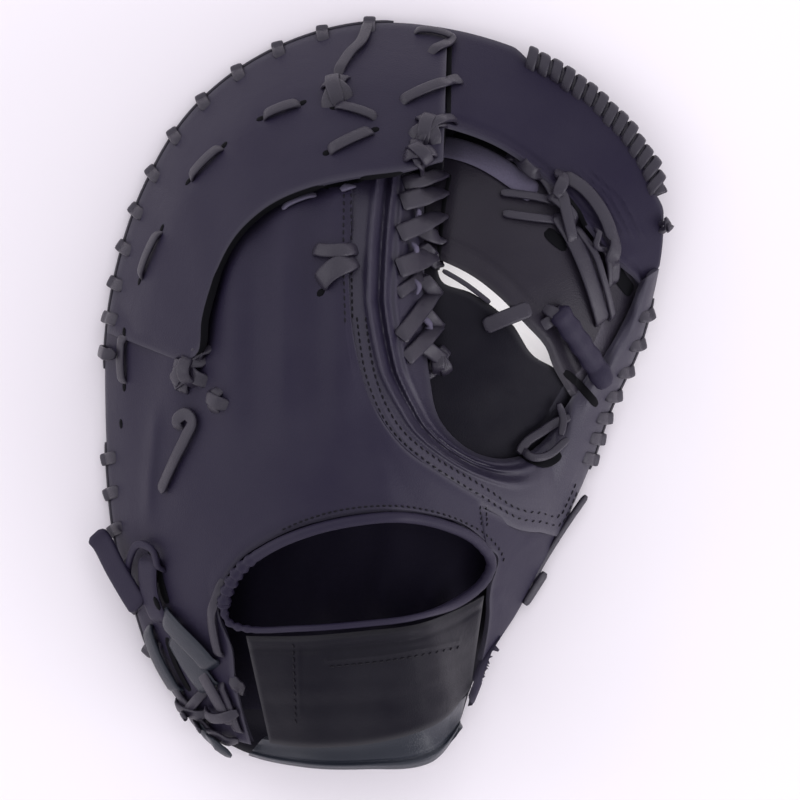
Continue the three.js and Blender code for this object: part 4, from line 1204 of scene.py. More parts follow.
def strap_relief(x, y, across, along):
    """A rolled top, a line of piping, a sewn line at the left and creases across."""
    top_roll = 1.6 * bump(across, 0.05, 0.045) - 0.9 * bump(across, 0.13, 0.025)
    gap, share = distance_to_line(x, y, STRAP_PIPING)
    piping = 1.0 * np.exp(-((gap / 0.9) ** 2)) * (share > 0) * (share < 1)
    side_line = ridge(x, y, STRAP_SEWN_LINE, height=0.5, width=0.9, fade=0.15)
    creases = 0.35 * np.sin(across * 26 + 1.5 * np.sin(along * 5)) * smooth_step((across - 0.3) / 0.2)
    return top_roll + piping + side_line + creases


def make_wrist_strap():
    rows = np.array(STRAP_ROWS, float)
    piece = leather_panel("wrist_strap_leather", smooth_line(rows[:, :2], LINE_STEPS),
                          smooth_line(rows[:, 2:], LINE_STEPS), strap_height, across=70, along=120,
                          thickness=PALM_THICKNESS, relief=strap_relief)
    return finish_piece(piece, materials()["strap_cowhide"], ["wrist_strap"])


def heel_height(x, y, across, along):
    """The heel band goes in under the strap."""
    under = PALM_THICKNESS + SEAT_GAP + SEWN_GAP
    return offset_height(back_height, x, y, -under * smooth_step(across / 0.77))


def heel_relief(x, y, across, along):
    """A roll along the lower edge with a groove above it."""
    return 1.1 * bump(across, 0.14, 0.07) - 0.7 * bump(across, 0.28, 0.05)


def make_heel_band():
    rows = np.array(HEEL_ROWS, float)
    piece = leather_panel("heel_band_leather", near_rim_on_rim(smooth_line(rows[:, :2], LINE_STEPS)),
                          smooth_line(rows[:, 2:], LINE_STEPS), heel_height, across=36, along=100,
                          thickness=BACK_THICKNESS, relief=heel_relief)
    return finish_piece(piece, materials()["band_cowhide"], ["heel_band"])


BINDING_RADIUS = 2.35
BINDING_RISE = 1.7
BINDING_STEP = 0.9
GATHER_PITCH = 4.2


def back_slopes(x, y):
    """How steeply the back rises to the right and to the fingertips."""
    return [(back_height(x + SLOPE_REACH, y) - back_height(x - SLOPE_REACH, y)) / (2 * SLOPE_REACH),
            (back_height(x, y + SLOPE_REACH) - back_height(x, y - SLOPE_REACH)) / (2 * SLOPE_REACH)]


def make_wrist_binding():
    """The rolled binding round the wrist opening, gathered at its left end."""
    plan = even_line(smooth_line(WINDOW_EDGE, LINE_STEPS, closed=True), BINDING_STEP)[:-1]
    x, y = plan[:, 0], plan[:, 1]
    path = np.column_stack([x, y, back_height(x, y) + BINDING_RISE])
    slopes = back_slopes(x, y)
    ups = np.column_stack([-slopes[0], -slopes[1], np.ones(len(x))])
    ups = ups / np.linalg.norm(ups, axis=1, keepdims=True)
    left = smooth_step((-52 - x) / 12)
    right = smooth_step((x - 36) / 8) * 0.5
    run = np.arange(len(x)) * BINDING_STEP
    below = smooth_step((-90 - y) / 6)
    swell = 1 + (0.28 * left + 0.1 * right) * np.sin(run * 2 * np.pi / GATHER_PITCH) + 0.12 * left
    swell = swell * (1 - 0.4 * below)
    circle = round_section(1, 1, 14) * BINDING_RADIUS
    piece = swept("wrist_binding_roll", path, ups, circle[None] * swell[:, None, None], closed=True)
    return finish_piece(piece, materials()["cowhide"], ["wrist_binding"])


# Laces

def bed_of(*names):
    """The top of the named pieces of leather."""
    return Bed(*(bpy.data.objects[name] for name in names))


LEATHER_TOPS = ("finger_back_leather", "hand_back_leather", "thumb_back_leather",
                "crotch_facing_leather", "web_top_leather", "web_mid_leather", "palm_leather",
                "wrist_strap_leather", "heel_band_leather")


def make_finger_laces():
    bed = bed_of("finger_back_leather", "hand_back_leather")
    for k, row in enumerate(FINGER_LACES):
        piece = laid_lace(f"finger_lace_{k + 1}_rawhide", (row[:2], row[2:]), bed, arch=1.1, width=5.6)
        finish_piece(piece, materials()["waxed_rawhide"], [f"finger_lace_{k + 1}"])


RIM_LACES = (
    # node, from and to in degrees, turns, panel that carries them
    ("rim_lace_fingers", 86, 172, 12, "finger_back_leather"),
    ("rim_lace_side", 188, 232, 6, "hand_back_leather"),
    ("rim_lace_thumb", 20.5, -16, 7, "crotch_facing_leather"),
)
# A turn over the rim: how far in from the leather's edge, and how high over it
RIM_TURN = ((4.2, -0.9), (3.2, 0.4), (1.6, 1.0), (0.6, 1.0))
LOWEST_RUN = 3.6


def rim_tooth(deg, bed, z_run):
    """One turn of lace over the rim: out of the leather, over the edge and down to the run."""
    outward = np.array([math.cos(math.radians(deg)), math.sin(math.radians(deg)), 0])
    places = []
    for inset, lift in RIM_TURN:
        x, y = rim_point(deg, RIM_INSET + inset)
        height, up = bed.at(x, y)
        places.append(np.array([x, y, height]) + up * lift)
    x, y = rim_point(deg, 0.1)
    edge = places[-1][2]
    places.append(np.array([x, y, (edge + z_run) / 2 + 0.6]))
    x, y = rim_point(deg, 1.0)
    places.append(np.array([x, y, z_run - 0.6]))
    path = even_line(smooth_line(places, 60), 0.8)
    side = np.array([-outward[1], outward[0], 0])
    ahead = np.gradient(path, axis=0)
    ups = np.cross(np.broadcast_to(side, path.shape), ahead)
    return swept("rim_tooth", path, ups, flat_section(5.4, 1.8, 10))


def run_height(deg):
    """Where the lace runs along the rim, between palm and back."""
    return np.maximum((rim_value("palm", deg) + rim_value("back", deg)) / 2, LOWEST_RUN)


def rim_lace(node, from_deg, to_deg, count, panel):
    """A lace that runs along the rim with its turns over the edge."""
    bed = bed_of(panel)
    degs = np.linspace(from_deg, to_deg, count * 8 + 1)
    plan = rim_point(degs, RIM_INSET - 0.3)
    ups = np.column_stack([np.cos(np.radians(degs)), np.sin(np.radians(degs)), np.zeros(len(degs))])
    parts = [swept("rim_run", np.column_stack([plan, run_height(degs)]), ups, flat_section(3.4, 1.6))]
    for k in range(count):
        deg = from_deg + (to_deg - from_deg) * (k + 0.5) / count
        parts.append(rim_tooth(deg, bed, run_height(deg)))
    return finish_piece(joined(f"{node}_rawhide", parts), materials()["waxed_rawhide"], [node])


def make_rim_laces():
    for row in RIM_LACES:
        rim_lace(*row)


# The wound lace: how far in from the rim it lies, and half its width and height
WRAP_TURNS = 14
STEPS_A_TURN = 22
WRAP_MIDDLE_INSET = 4.4
WRAP_REACH = (4.6, 3.0)
WRAP_CORE = (3.6, 2.0)


def make_web_edge_wrap():
    """The lace wound round the outer edge of the web."""
    share = np.linspace(0, 1, WRAP_TURNS * STEPS_A_TURN + 1)
    degs = WRAP_FROM_DEG - 1 + (WRAP_TO_DEG - WRAP_FROM_DEG + 2) * share
    plan = rim_point(degs, WRAP_MIDDLE_INSET)
    back_share = 0.4 * (1 - smooth_step(share / 0.4))
    web = web_height(plan[:, 0], plan[:, 1])
    middle = np.column_stack([plan, web + (back_height(plan[:, 0], plan[:, 1]) - web) * back_share - 0.5])
    outward = np.column_stack([np.cos(np.radians(degs)), np.sin(np.radians(degs)), np.zeros(len(degs))])
    turn = 2 * np.pi * WRAP_TURNS * share
    wander = 1 + 0.1 * np.sin(share * 61) + 0.07 * np.sin(share * 23 + 1)
    out = (outward * np.cos(turn)[:, None] * WRAP_REACH[0]
           + np.array([0, 0, 1]) * np.sin(turn)[:, None] * WRAP_REACH[1])
    out = out * wander[:, None]
    wound = swept("web_wound_lace", middle + out, out, flat_section(4.7, 2.0, 10))
    core = swept("web_wrapped_edge", middle, all_the_way((0, 0, 1), middle), round_section(*WRAP_CORE, 10))
    piece = joined("web_edge_wrap_rawhide", [wound, core])
    return finish_piece(piece, materials()["waxed_rawhide"], ["web_edge_wrap"])


COLUMN_DIP = 1.4
COLUMN_BANDS = (
    # from, to, width, lift
    ((8, 91), (25.5, 96), 7, 1.0),
    ((7, 83), (25, 88.5), 8.5, 1.4),
    ((6, 69), (24.5, 78), 8, 1.6),
    ((14, 72), (24.5, 67), 7, 0.6),
    ((15, 64), (23.5, 56.5), 7, 0.8),
    ((5.5, 54), (21, 61), 9, 2.2),
    ((15.5, 51), (23, 42), 6.5, 0.8),
    ((5.5, 43), (16, 52), 5.5, 0.6),
    ((6.5, 24), (21, 44), 7.5, 2.2),
    ((15, 38), (24, 28), 6, 0.6),
    ((9, 15), (23, 30), 7, 1.6),
    ((14, 23), (26, 14), 6.5, 0.8),
)


def make_web_column_lace():
    """The flat lace that zigzags down the index finger's side, where the web is laced on."""
    bed = bed_of("crotch_facing_leather", "web_mid_leather", "palm_leather")
    parts = []
    for start, end, width, lift in COLUMN_BANDS:
        start, end = np.array(start, float), np.array(end, float)
        plan = smooth_line([start, (start + end) / 2 + (0.4, -0.4), end], 24)
        share = np.linspace(0, 1, len(plan))
        low, high = bed.at(*start)[0], bed.at(*end)[0]
        level = low + (high - low) * share
        height, normals = bed.under(plan)
        ups = settle(normals, 6) + np.array([-0.25, 0.12, 1.0])
        level = np.maximum(level, settle(height)) + lift + 2.6 * np.sin(np.pi * share)
        for from_end in (share, 1 - share):
            level = level - COLUMN_DIP * (1 - smooth_step(from_end / 0.12))
        path = np.column_stack([plan, level])
        parts.append(swept("column_lace", path, ups, flat_section(width, 1.7, 12), ends=0.85))
    piece = joined("web_column_lace_rawhide", parts)
    return finish_piece(piece, materials()["waxed_rawhide"], ["web_column_lace"])


LAID_LACES = (
    # node, rows, arch, how far each end sinks, rise, width if it isn't the usual one
    ("seam_lace_upper", [(12, 158), (22, 157), (29, 153.5), (19, 148)], 0.6, (1, 1), 0.4, None),
    ("seam_lace_lower", [(6.5, 126), (19.5, 131.5), (34, 137)], 1.2, (1, 1), 0.2, 5.6),
    ("fingertip_lace", [(-7, 162), (-10, 152.5), (-15, 147), (-21, 138)], 0.8, (0, 1), 0.2, 5.0),
    ("web_lace_long", [(74, 79), (81, 66), (87.5, 50), (94.5, 30)], 1.6, (1, 1), 0.4, 8.5),
    ("web_lace_short", [(75.5, 97), (75.5, 85), (77, 76), (80.5, 64)], 2.6, (1, 1), 2.2, 5.6),
    ("web_tail_upper", [(74, 83), (64, 85), (50, 87)], 0.8, (1, 0), 0.2, 3.8),
    ("web_tail_lower", [(75, 75), (63, 76), (51, 78)], 0.8, (1, 0), 0.2, 3.8),
    ("heel_lace_upper", [(-92, -127), (-82, -138), (-71.5, -150.5)], 0.8, (1, 0), 0.4, None),
    ("heel_lace_lower", [(-99, -108), (-90.5, -126), (-80, -146)], 0.8, (1, 0), 0.3, None),
)


def make_laid_laces():
    bed = bed_of(*LEATHER_TOPS)
    for node, rows, arch, sink, rise, width in LAID_LACES:
        piece = laid_lace(f"{node}_rawhide", rows, bed, arch, sink, rise, width)
        finish_piece(piece, materials()["waxed_rawhide"], [node])


KNOTS = (
    # piece, nodes that it stands for
    ("web_knot_rawhide", ["web_knot"]),
    ("index_lace_tab_rawhide", ["index_lace_tab"]),
    ("fingertip_knot_rawhide", ["fingertip_knot"]),
    ("side_knot_rawhide", ["side_knot"]),
    ("side_lace_tail_rawhide", ["side_lace_tail"]),
    ("heel_knot_rawhide", ["heel_knot"]),
    ("web_corner_knot_rawhide", []),
    ("web_crossing_knot_rawhide", []),
)
KNOT_TIES = (
    # piece, middle, bands as turn in degrees, length and arch, width
    ("web_knot_rawhide", (18.5, 114), ((25, 17, 0.8), (120, 15, 1.0), (70, 13, 1.2)), 6),
    ("web_knot_rawhide", (15, 103), ((100, 16, 0.8), (10, 15, 1.0), (140, 12, 1.0)), 6),
    ("fingertip_knot_rawhide", (-21, 131), ((62, 18, 0.8), (150, 13, 1.0), (100, 13, 1.2)), 6.5),
    ("side_knot_rawhide", (-84, 9), ((70, 20, 0.8), (150, 17, 1.0), (40, 17, 1.2), (110, 12, 1.2)), 6.5),
    ("side_knot_rawhide", (-72, -3), ((80, 12, 1.0), (150, 10, 1.0)), 6),
    ("web_corner_knot_rawhide", (122, 73), ((60, 8, 0.8), (140, 6, 0.8)), 3.5),
    ("web_crossing_knot_rawhide", (73, 33), ((40, 13, 1.0), (130, 12, 1.2)), 5.5),
    ("web_crossing_knot_rawhide", (23, 14), ((55, 15, 1.0), (130, 14, 1.2), (90, 11, 1.2)), 6),
)
KNOT_LACES = (
    # piece, rows, arch, how far each end sinks, rise, width and thickness if they aren't the usual ones
    ("web_knot_rawhide", [(31, 118), (23, 116), (14, 108)], 1.5, (1, 1), 1.5, None, None),
    ("index_lace_tab_rawhide", [(-12, 58.5), (-20, 54), (-28.5, 46.5)], 1.2, (1, 1), 0.2, 9.5, 2.2),
    ("index_lace_tab_rawhide", [(-31, 62), (-22, 60.5), (-11.5, 62)], 1.2, (1, 1), 1.0, 6, None),
    ("fingertip_knot_rawhide", [(-22, 125), (-12, 122), (-3, 119)], 0.8, (1, 1), 0, None, None),
    ("side_knot_rawhide", [(-91, 3), (-86, 6), (-80, 14), (-75, 20)], 1.6, (1, 1), 1.2, None, None),
    ("side_lace_tail_rawhide", [(-88, -16), (-88.5, -11), (-84.5, -8.5), (-81.5, -12), (-84, -18),
                                (-89.5, -29), (-96, -42)], 0.8, (1, 0), 0.6, 5.6, None),
    ("heel_knot_rawhide", [(-79, -118.5), (-71.5, -130), (-65, -144)], 1.4, (1, 1), 1.2, 7, None),
    ("heel_knot_rawhide", [(-71.5, -124.5), (-66.5, -135), (-62.5, -148)], 1.0, (1, 1), 0.2, 5, None),
    ("heel_knot_rawhide", [(-77, -136), (-70.5, -138.5), (-63, -137.5)], 1.2, (1, 1), 3.2, 5, None),
    ("heel_knot_rawhide", [(-77, -146), (-70.5, -147), (-64, -151)], 1.4, (1, 1), 1.6, 5.5, None),
    ("web_crossing_knot_rawhide", [(76.5, 95), (86, 88), (93, 78), (98, 64), (98, 47)],
     1.8, (1, 1), 0.6, 6.5, None),
    ("web_crossing_knot_rawhide", [(81, 73), (88.5, 61), (92, 50), (98, 32)], 2.4, (1, 1), 1.4, 3.2, None),
    ("web_crossing_knot_rawhide", [(91, 72), (94.5, 59), (96, 45)], 1.6, (1, 1), 1.6, 2.8, None),
    ("web_crossing_knot_rawhide", [(52, 104), (62, 99), (70, 91), (75, 82)], 1.6, (1, 1), 0.6, 5.5, None),
    ("web_crossing_knot_rawhide", [(70, 86), (76, 80), (82, 73)], 2.2, (1, 1), 2.4, 5.5, None),
)


def make_knots():
    """Each knot with the ends of lace that come out of it."""
    bed = bed_of(*LEATHER_TOPS)
    for piece, nodes in KNOTS:
        parts = [tie(f"{piece}_loop", middle, bed, bands, width)
                 for name, middle, bands, width in KNOT_TIES if name == piece]
        parts.extend(laid_lace(f"{piece}_end", rows, bed, *shape)
                     for name, rows, *shape in KNOT_LACES if name == piece)
        finish_piece(joined(piece, parts), materials()["waxed_rawhide"], nodes)


# Holes without a lace of their own, and which way they are long
SINGLE_HOLES = (
    (-17, 131.5, 0.4, 1), (-27.5, 43.5, 1, 0.7), (-115, -13, 0, 1), (-97.5, -96.5, 0.4, 1),
    (-22, 124, 1, -0.3),
)
# Half the width, length and depth of a hole
HOLE_SIZE = (1.7, 2.3, 0.35)
# Painted shade: dark strips laid where shade falls under leather edges, in gaps between panels and beside
# laces and straps
PAINTED_SHADE_STRIPS = (
    # rows, width
    ([(98.5, 58), (102, 51), (107.5, 44)], 6.5),
    ([(70, 71), (74, 67), (79, 63.5)], 6),
    ([(77, 88), (84, 79), (90, 67)], 2.4),
    ([(59.8, -25.5), (63.5, -28.8), (70, -29.8), (76.5, -26)], 4.6),
    ([(78, 9.6), (85, 3.5), (92.5, -5)], 3.6),
    ([(28.3, 95), (26, 84), (24.5, 71), (23, 56)], 1.8),
    ([(-103, -67.5), (-98, -72)], 6.5),
    ([(-99.5, -70), (-97.5, -80), (-94.5, -91)], 5),
    ([(28.3, 158), (27.8, 140), (27.3, 119)], 2.4),
    ([(30, 113), (42, 109.5), (54, 103.5), (65, 95)], 3),
    ([(x, y - 0.9) for _, x, y in CRESCENT_ROWS[1:]], 3.6),
    ([(-95, -106), (-91, -117.5), (-85, -129.5)], 4),
)


def make_holes():
    """Painted shade: dark ovals in the punched holes where laces go in, and dark strips where shade falls
    under leather edges, in gaps and beside laces.
    """
    bed = bed_of(*LEATHER_TOPS)
    ends = []
    for row in FINGER_LACES:
        start, end = np.array(row[:2]), np.array(row[2:])
        run = (end - start) / np.linalg.norm(end - start)
        ends.extend([(start - run * 0.3, run), (end + run * 0.3, run)])
    ends.extend((np.array(row[:2]), np.array(row[2:])) for row in SINGLE_HOLES)
    middles, aheads = zip(*ends)
    # Painted shade: a dark oval in each punched hole
    parts = [repeated("hole_row", np.array(middles), aheads, HOLE_SIZE, bed)]
    for rows, width in PAINTED_SHADE_STRIPS:
        parts.append(laid_lace("painted_shade_strip", rows, bed, arch=0, sink=(0.3, 0.3), width=width, thickness=0.6))
    return finish_piece(joined("painted_hole_and_gap_shade", parts), materials()["hole_shade"])


RIDING_STEP = 1.4


def over_bed(rows, bed, radius, riding):
    """A path that rides on the highest leather under a round cord."""
    plan = even_line(smooth_line(rows, LACE_STEPS), RIDING_STEP)
    angle = np.arange(8) * np.pi / 4
    heights = []
    for x, y in plan:
        ring = [bed.at(x + radius * math.cos(a), y + radius * math.sin(a))[0] for a in angle]
        heights.append(max(bed.at(x, y)[0], *ring))
    return np.column_stack([plan, settle(heights, 4) + radius * riding])


# The bar: its route, half its width and half its height, and its wrinkles
BAR_ROUTE = [(75, 36), (82, 26), (90, 14.5), (96.5, 4)]
BAR_SECTION = (5.2, 3.6)
BAR_WRINKLES = 5


def make_web_bar():
    """The rolled bar at the thumb side of the web."""
    bed = bed_of("web_mid_leather", "crotch_facing_leather", "web_top_leather")
    path = over_bed(BAR_ROUTE, bed, radius=3.0, riding=0.9)
    share = np.linspace(0, 1, len(path))
    swell = 1 + 0.06 * np.sin(share * 2 * np.pi * BAR_WRINKLES)
    sections = round_section(*BAR_SECTION, 16)[None] * swell[:, None, None]
    piece = swept("web_bar_leather", path, all_the_way((0.3, 0.2, 1), path), sections, ends=0.7)
    return finish_piece(piece, materials()["cowhide"], ["web_bar"])


SLIT_STRIP_ROUTE = [(25, 53.5), (35, 47.5), (45.5, 39.5)]
SLIT_LACE_ROUTE = (
    # x, y, the leather under it, height over that
    (43, 29, palm_height, 1.6),
    (52.5, 33, web_height, 0.9),
    (63, 37, web_height, 2.0),
)
SLIT_STEPS = 24


def make_slit_pieces():
    """The narrow strip in the web's slit and the flat lace across it."""
    plan = smooth_line(SLIT_STRIP_ROUTE, SLIT_STEPS)
    path = np.column_stack([plan, palm_height(plan[:, 0], plan[:, 1]) + 1.8])
    strip = swept("slit_strip_rawhide", path, all_the_way((0, 0, 1), path), flat_section(2.2, 1.6))
    finish_piece(strip, materials()["waxed_rawhide"], ["slit_strip"])
    rows = [(x, y, float(height(x, y)) + over) for x, y, height, over in SLIT_LACE_ROUTE]
    path = smooth_line(rows, SLIT_STEPS)
    lace = swept("slit_lace_rawhide", path, all_the_way((0, 0, 1), path), flat_section(7.2, 1.9))
    finish_piece(lace, materials()["waxed_rawhide"], ["slit_lace"])


# Painted light: routes of pale strips that stand for highlights and glimpses of the lit floor
WEB_GLIMPSES = ([(23, 107.5), (31, 106), (42, 102), (53, 95.5), (65, 86.5)],)
CRESCENT_GLIMPSES = ([(-44, 79.5), (-37, 83), (-29.5, 85.5)], [(-19, 87.5), (-11, 89.5), (-3.5, 90.5)])
COLUMN_GLIMPSES = (
    [(12.5, 80), (12.5, 76)], [(10.5, 65), (11.5, 59)], [(11.5, 49), (12.5, 43)], [(15, 33), (19, 25)],
)
GLIMPSES = (
    # routes, leather under them, arch, rise, width, thickness
    (WEB_GLIMPSES, ["web_mid_leather"], 0.3, 0, 11, 1.4),
    (CRESCENT_GLIMPSES, ["hand_back_leather"], 0.2, 0.6, 4.2, 1.4),
    (COLUMN_GLIMPSES, ["crotch_facing_leather", "web_mid_leather"], 0.6, 1.6, 3.4, 1.8),
)


def make_pale_strips():
    """Painted light: pale strips for the light seen under the web's edge and the crescent's, and between the
    column's laces.
    """
    strips = []
    for routes, tops, arch, rise, width, thickness in GLIMPSES:
        bed = bed_of(*tops)
        strips.extend(laid_lace("pale_strip", rows, bed, arch, (0.4, 0.4), rise, width, thickness)
                      for rows in routes)
    return finish_piece(joined("painted_light_strips", strips), materials()["pale_painted_light"])


CROTCH_LOOPS = (
    # rows, height over the leather as a share of the cord's radius, width
    ([(59.5, -24), (64, -27.5), (71, -26.5), (79.5, -19.5)], 1.3, 3.6),
    ([(58, -25.5), (62, -20.5), (68, -16.5), (74, -12.5), (80.5, -10)], 1.4, 4.2),
    ([(75.5, -4), (77.5, -11), (76.5, -18)], 1.9, 3.4),
)


def make_crotch_loop():
    """The coiled loop of lace at the crotch."""
    bed = bed_of("crotch_facing_leather", "palm_leather")
    parts = []
    for rows, riding, width in CROTCH_LOOPS:
        path = over_bed(rows, bed, radius=2.0, riding=riding)
        parts.append(swept("crotch_loop_turn", path, all_the_way((0, 0, 1), path),
                           flat_section(width, 2.4)))
    return finish_piece(joined("crotch_loop_rawhide", parts), materials()["waxed_rawhide"],
                        ["crotch_loop"])


THUMB_LACES = (
    # node, rows with their heights, width
    ("thumb_lace", [(88, -44.5, 6), (82.3, -52.5, 8), (75.6, -62.5, 8.5), (68.8, -73.5, 8), (64, -82.5, 6)],
     2.8),
    ("thumb_lace_end", [(70, -78, 6), (65.5, -85, 6.5), (61, -92, 7)], 4),
)
THUMB_LACE_THICKNESS = 2.2


def make_thumb_laces():
    """The straight lace along the thumb's side, and its end."""
    for node, rows, width in THUMB_LACES:
        path = even_line(smooth_line(rows, 60), 1.2)
        lace = swept(f"{node}_rawhide", path, all_the_way((0.5, -0.3, 0.8), path),
                     flat_section(width, THUMB_LACE_THICKNESS))
        finish_piece(lace, materials()["waxed_rawhide"], [node])


STRAP_BANDS = (
    # rows, rise, width
    ([(-91.5, -103), (-83.5, -115), (-74.5, -129)], 0.1, 15),
    ([(-102.5, -101), (-97.5, -113), (-89, -130)], 0.9, 9),
    ([(-94.5, -95), (-87, -102), (-79, -110), (-73, -118)], 2.0, 11),
)
STRAP_TIES = (
    # rows, arch, rise
    ([(-90.5, -133), (-84, -136.5), (-76, -139)], 1.2, 2.0),
    ([(-78, -129), (-83, -135.5), (-88, -141.5)], 1.4, 0.8),
)
SMALL_STRAPS = (
    # piece, material, slot, nodes, rows, arch, how far each end sinks, rise, width, thickness
    ("adjust_tab_end", "cowhide", "leather", [],
     [(-101, -70), (-99, -84), (-95.5, -99)], 2.0, (1, 0.5), 1.2, 14, 2.4),
    ("strap_end", "band_cowhide", "lace", [],
     [(-81, -141), (-73.5, -149), (-66, -156)], 1.4, (1, 0), 1.0, 6, None),
    ("strap_flap", "waxed_rawhide", "leather", [],
     [(-66, -123), (-62.5, -130.5)], 0.6, (1, 1), 0.8, 5.5, None),
    ("binding_tail", "waxed_rawhide", "leather", [],
     [(-69.5, -80), (-73, -90), (-73, -101), (-70.5, -114.5)], 0.4, (1, 1), 0.8, 4.4, 2.2),
    ("tab_loop_leather", "cowhide", "lace", ["tab_loop"],
     [(-107.5, -86), (-108.5, -75), (-104, -64.5), (-98, -66.5), (-95.5, -77)], 0.9, (1, 1), 2.2, 3.4, 2.2),
)
STRAP_HOLE = (-99, -91)
STRAP_HOLE_AHEAD = (0.35, -1)
STRAP_HOLE_SIZE = (1.6, 3.4, 0.6)
TAB_ROUTE = [(-127, -61, 15.5), (-124, -64, 15.2), (-117.5, -76, 20), (-110, -88.5, 25.2), (-107, -93, 27)]


def make_strap_bands(bed):
    """The strap's bands, side by side and lapped."""
    parts = [laid_lace("strap_band", rows, bed, 1.0, (0.5, 1), rise, width, 2.2)
             for rows, rise, width in STRAP_BANDS]
    finish_piece(joined("adjust_strap_leather", parts), materials()["band_cowhide"], ["adjust_strap"])


def make_strap_hole():
    """Painted shade: a dark oval where the tab's end is punched."""
    hole = repeated("strap_hole_shade", np.array([STRAP_HOLE]), [STRAP_HOLE_AHEAD], STRAP_HOLE_SIZE,
                    bed_of("adjust_tab_end"), rise=0.1)
    finish_piece(hole, materials()["hole_shade"])


def make_strap_knot(bed):
    """Two laces tied over the strap's lower end."""
    parts = [laid_lace("strap_tie", rows, bed, arch, rise=rise, width=4.6) for rows, arch, rise in STRAP_TIES]
    finish_piece(joined("strap_knot_rawhide", parts), materials()["waxed_rawhide"])


def make_tab():
    """The stiff tab that stands out at the left."""
    path = even_line(smooth_line(TAB_ROUTE, 60), 1.0)
    tab = swept("adjust_tab_leather", path, all_the_way((-0.55, -0.3, 0.8), path),
                flat_section(11.5, 3.0, 16), ends=0.55)
    finish_piece(tab, materials()["cowhide"], ["adjust_tab"])


def make_adjusting_strap():
    """The strap at the lower left with its loop and tab."""
    bed = bed_of("hand_back_leather")
    make_strap_bands(bed)
    for piece, material, slot, nodes, rows, arch, sink, rise, width, thickness in SMALL_STRAPS:
        strap = laid_lace(piece, rows, bed, arch, sink, rise, width, thickness)
        finish_piece(strap, materials()[material], nodes)
    make_strap_hole()
    make_strap_knot(bed)
    make_tab()


# Stitching

# Rows round the facing: how far inside its seam, and over which share of it
FACING_STITCHES = (1.6, 5.4)
FACING_STITCHED = (0.2, 0.7)
STITCH_ROWS = (
    # rows, pitch if it isn't the usual one
    ([(-17.6, 90), (-17.8, 60), (-17, 30)], None),
    ([(-14.5, 90), (-14.4, 60), (-13.8, 32)], None),
    ([(41, -48), (41.5, -53), (41.8, -57)], 2.4),
    ([(43.5, -48.5), (44, -53.5), (44.2, -57.5)], 2.4),
    ([(-24, -117.5), (0, -115), (33, -109.5)], None),
    ([(-39.5, -107), (-39, -125), (-38.5, -143)], None),
)
# The row over the wrist opening: from and to, counted in the points of its edge
WINDOW_STITCHED = (2.6, 8.2)
WINDOW_ROW_OUTSIDE = 5.6
WINDOW_PITCH = 2.6


def line_inside(outer, inner, inside, from_share, to_share):
    """A line that runs beside a panel's outer edge, some millimetres inside it."""
    run = np.hypot(*(inner - outer).T)
    line = outer + (inner - outer) * np.minimum(inside / run, 1)[:, None]
    first, last = int(from_share * (len(line) - 1)), int(to_share * (len(line) - 1))
    return line[first:last + 1]


def line_over_window():
    """A line round the upper side of the wrist opening, a little outside its edge."""
    window = smooth_line(WINDOW_EDGE, LINE_STEPS, closed=True)
    first, last = (int(LINE_STEPS * place / len(WINDOW_EDGE)) for place in WINDOW_STITCHED)
    outward = window[first:last] - window.mean(axis=0)
    outward = outward / np.linalg.norm(outward, axis=1, keepdims=True)
    return window[first:last] + outward * WINDOW_ROW_OUTSIDE


def make_stitching():
    """Every row of stitches, as one piece."""
    bed = bed_of(*LEATHER_TOPS)
    outer, inner = facing_seam()
    lines = [(line_inside(outer, inner, inside, *FACING_STITCHED), None) for inside in FACING_STITCHES]
    lines.extend(STITCH_ROWS)
    lines.append((line_over_window(), WINDOW_PITCH))
    rows = [stitch_row("stitch_row", line, bed, pitch) for line, pitch in lines]
    return finish_piece(joined("seam_stitches", rows), materials()["nylon_thread"])


# Stage

FLOOR_SIZE = 12
FLOOR_DROP = 0.3
WALL_LIGHT = 1.35
CEILING_LIGHT = 0.9
SOFTBOXES = (
    # name, place, size, watts
    ("left_softbox", (-1.9, 0.5, 0.9), 1.4, 5),
    ("right_softbox", (1.7, -1.0, 0.6), 1.4, 16),
    ("top_softbox", (0.2, 1.2, 2.4), 1.8, 5),
)
FLOOR_LAMP_PLACE = (56, 36, 30)
FLOOR_LAMP_SIZE = (90, 45)
FLOOR_LAMP_TURN = -40
FLOOR_LAMP_WATTS = 0.02
VIEW_WIDTH = 348.8
VIEW_MIDDLE = (9.81, -4.27)
CAMERA_DISTANCE = 5.0
CAMERA_OVER_ZERO = 0.02
SENSOR_WIDTH = 36


def make_floor():
    """A wide pale floor just under the mitt."""
    bpy.ops.object.select_all(action="DESELECT")
    bpy.ops.mesh.primitive_plane_add(size=FLOOR_SIZE)
    floor = bpy.context.object
    floor.name = "pale_floor"
    floor.location.z = -FLOOR_DROP * MM
    material = bpy.data.materials.new("pale_paper")
    material.use_nodes = True
    shader = material.node_tree.nodes["Principled BSDF"]
    shader.inputs["Base Color"].default_value = (*linear_from_hex("#f8f4f7"), 1)
    shader.inputs["Roughness"].default_value = 0.8
    floor.data.materials.append(material)


def make_room():
    """A pale room, brighter towards the walls than overhead."""
    world = bpy.data.worlds.new("pale_room")
    world.use_nodes = True
    tree = world.node_tree
    direction = add_node(tree, "ShaderNodeTexCoord").outputs["Generated"]
    parts = add_node(tree, "ShaderNodeSeparateXYZ", links={"Vector": direction})
    brightness = add_node(tree, "ShaderNodeMapRange", values={"To Min": WALL_LIGHT, "To Max": CEILING_LIGHT},
                          links={"Value": parts.outputs["Z"]})
    background = tree.nodes["Background"]
    background.inputs["Color"].default_value = (*linear_from_hex("#f5f2fa"), 1)
    tree.links.new(brightness.outputs["Result"], background.inputs["Strength"])
    bpy.context.scene.world = world


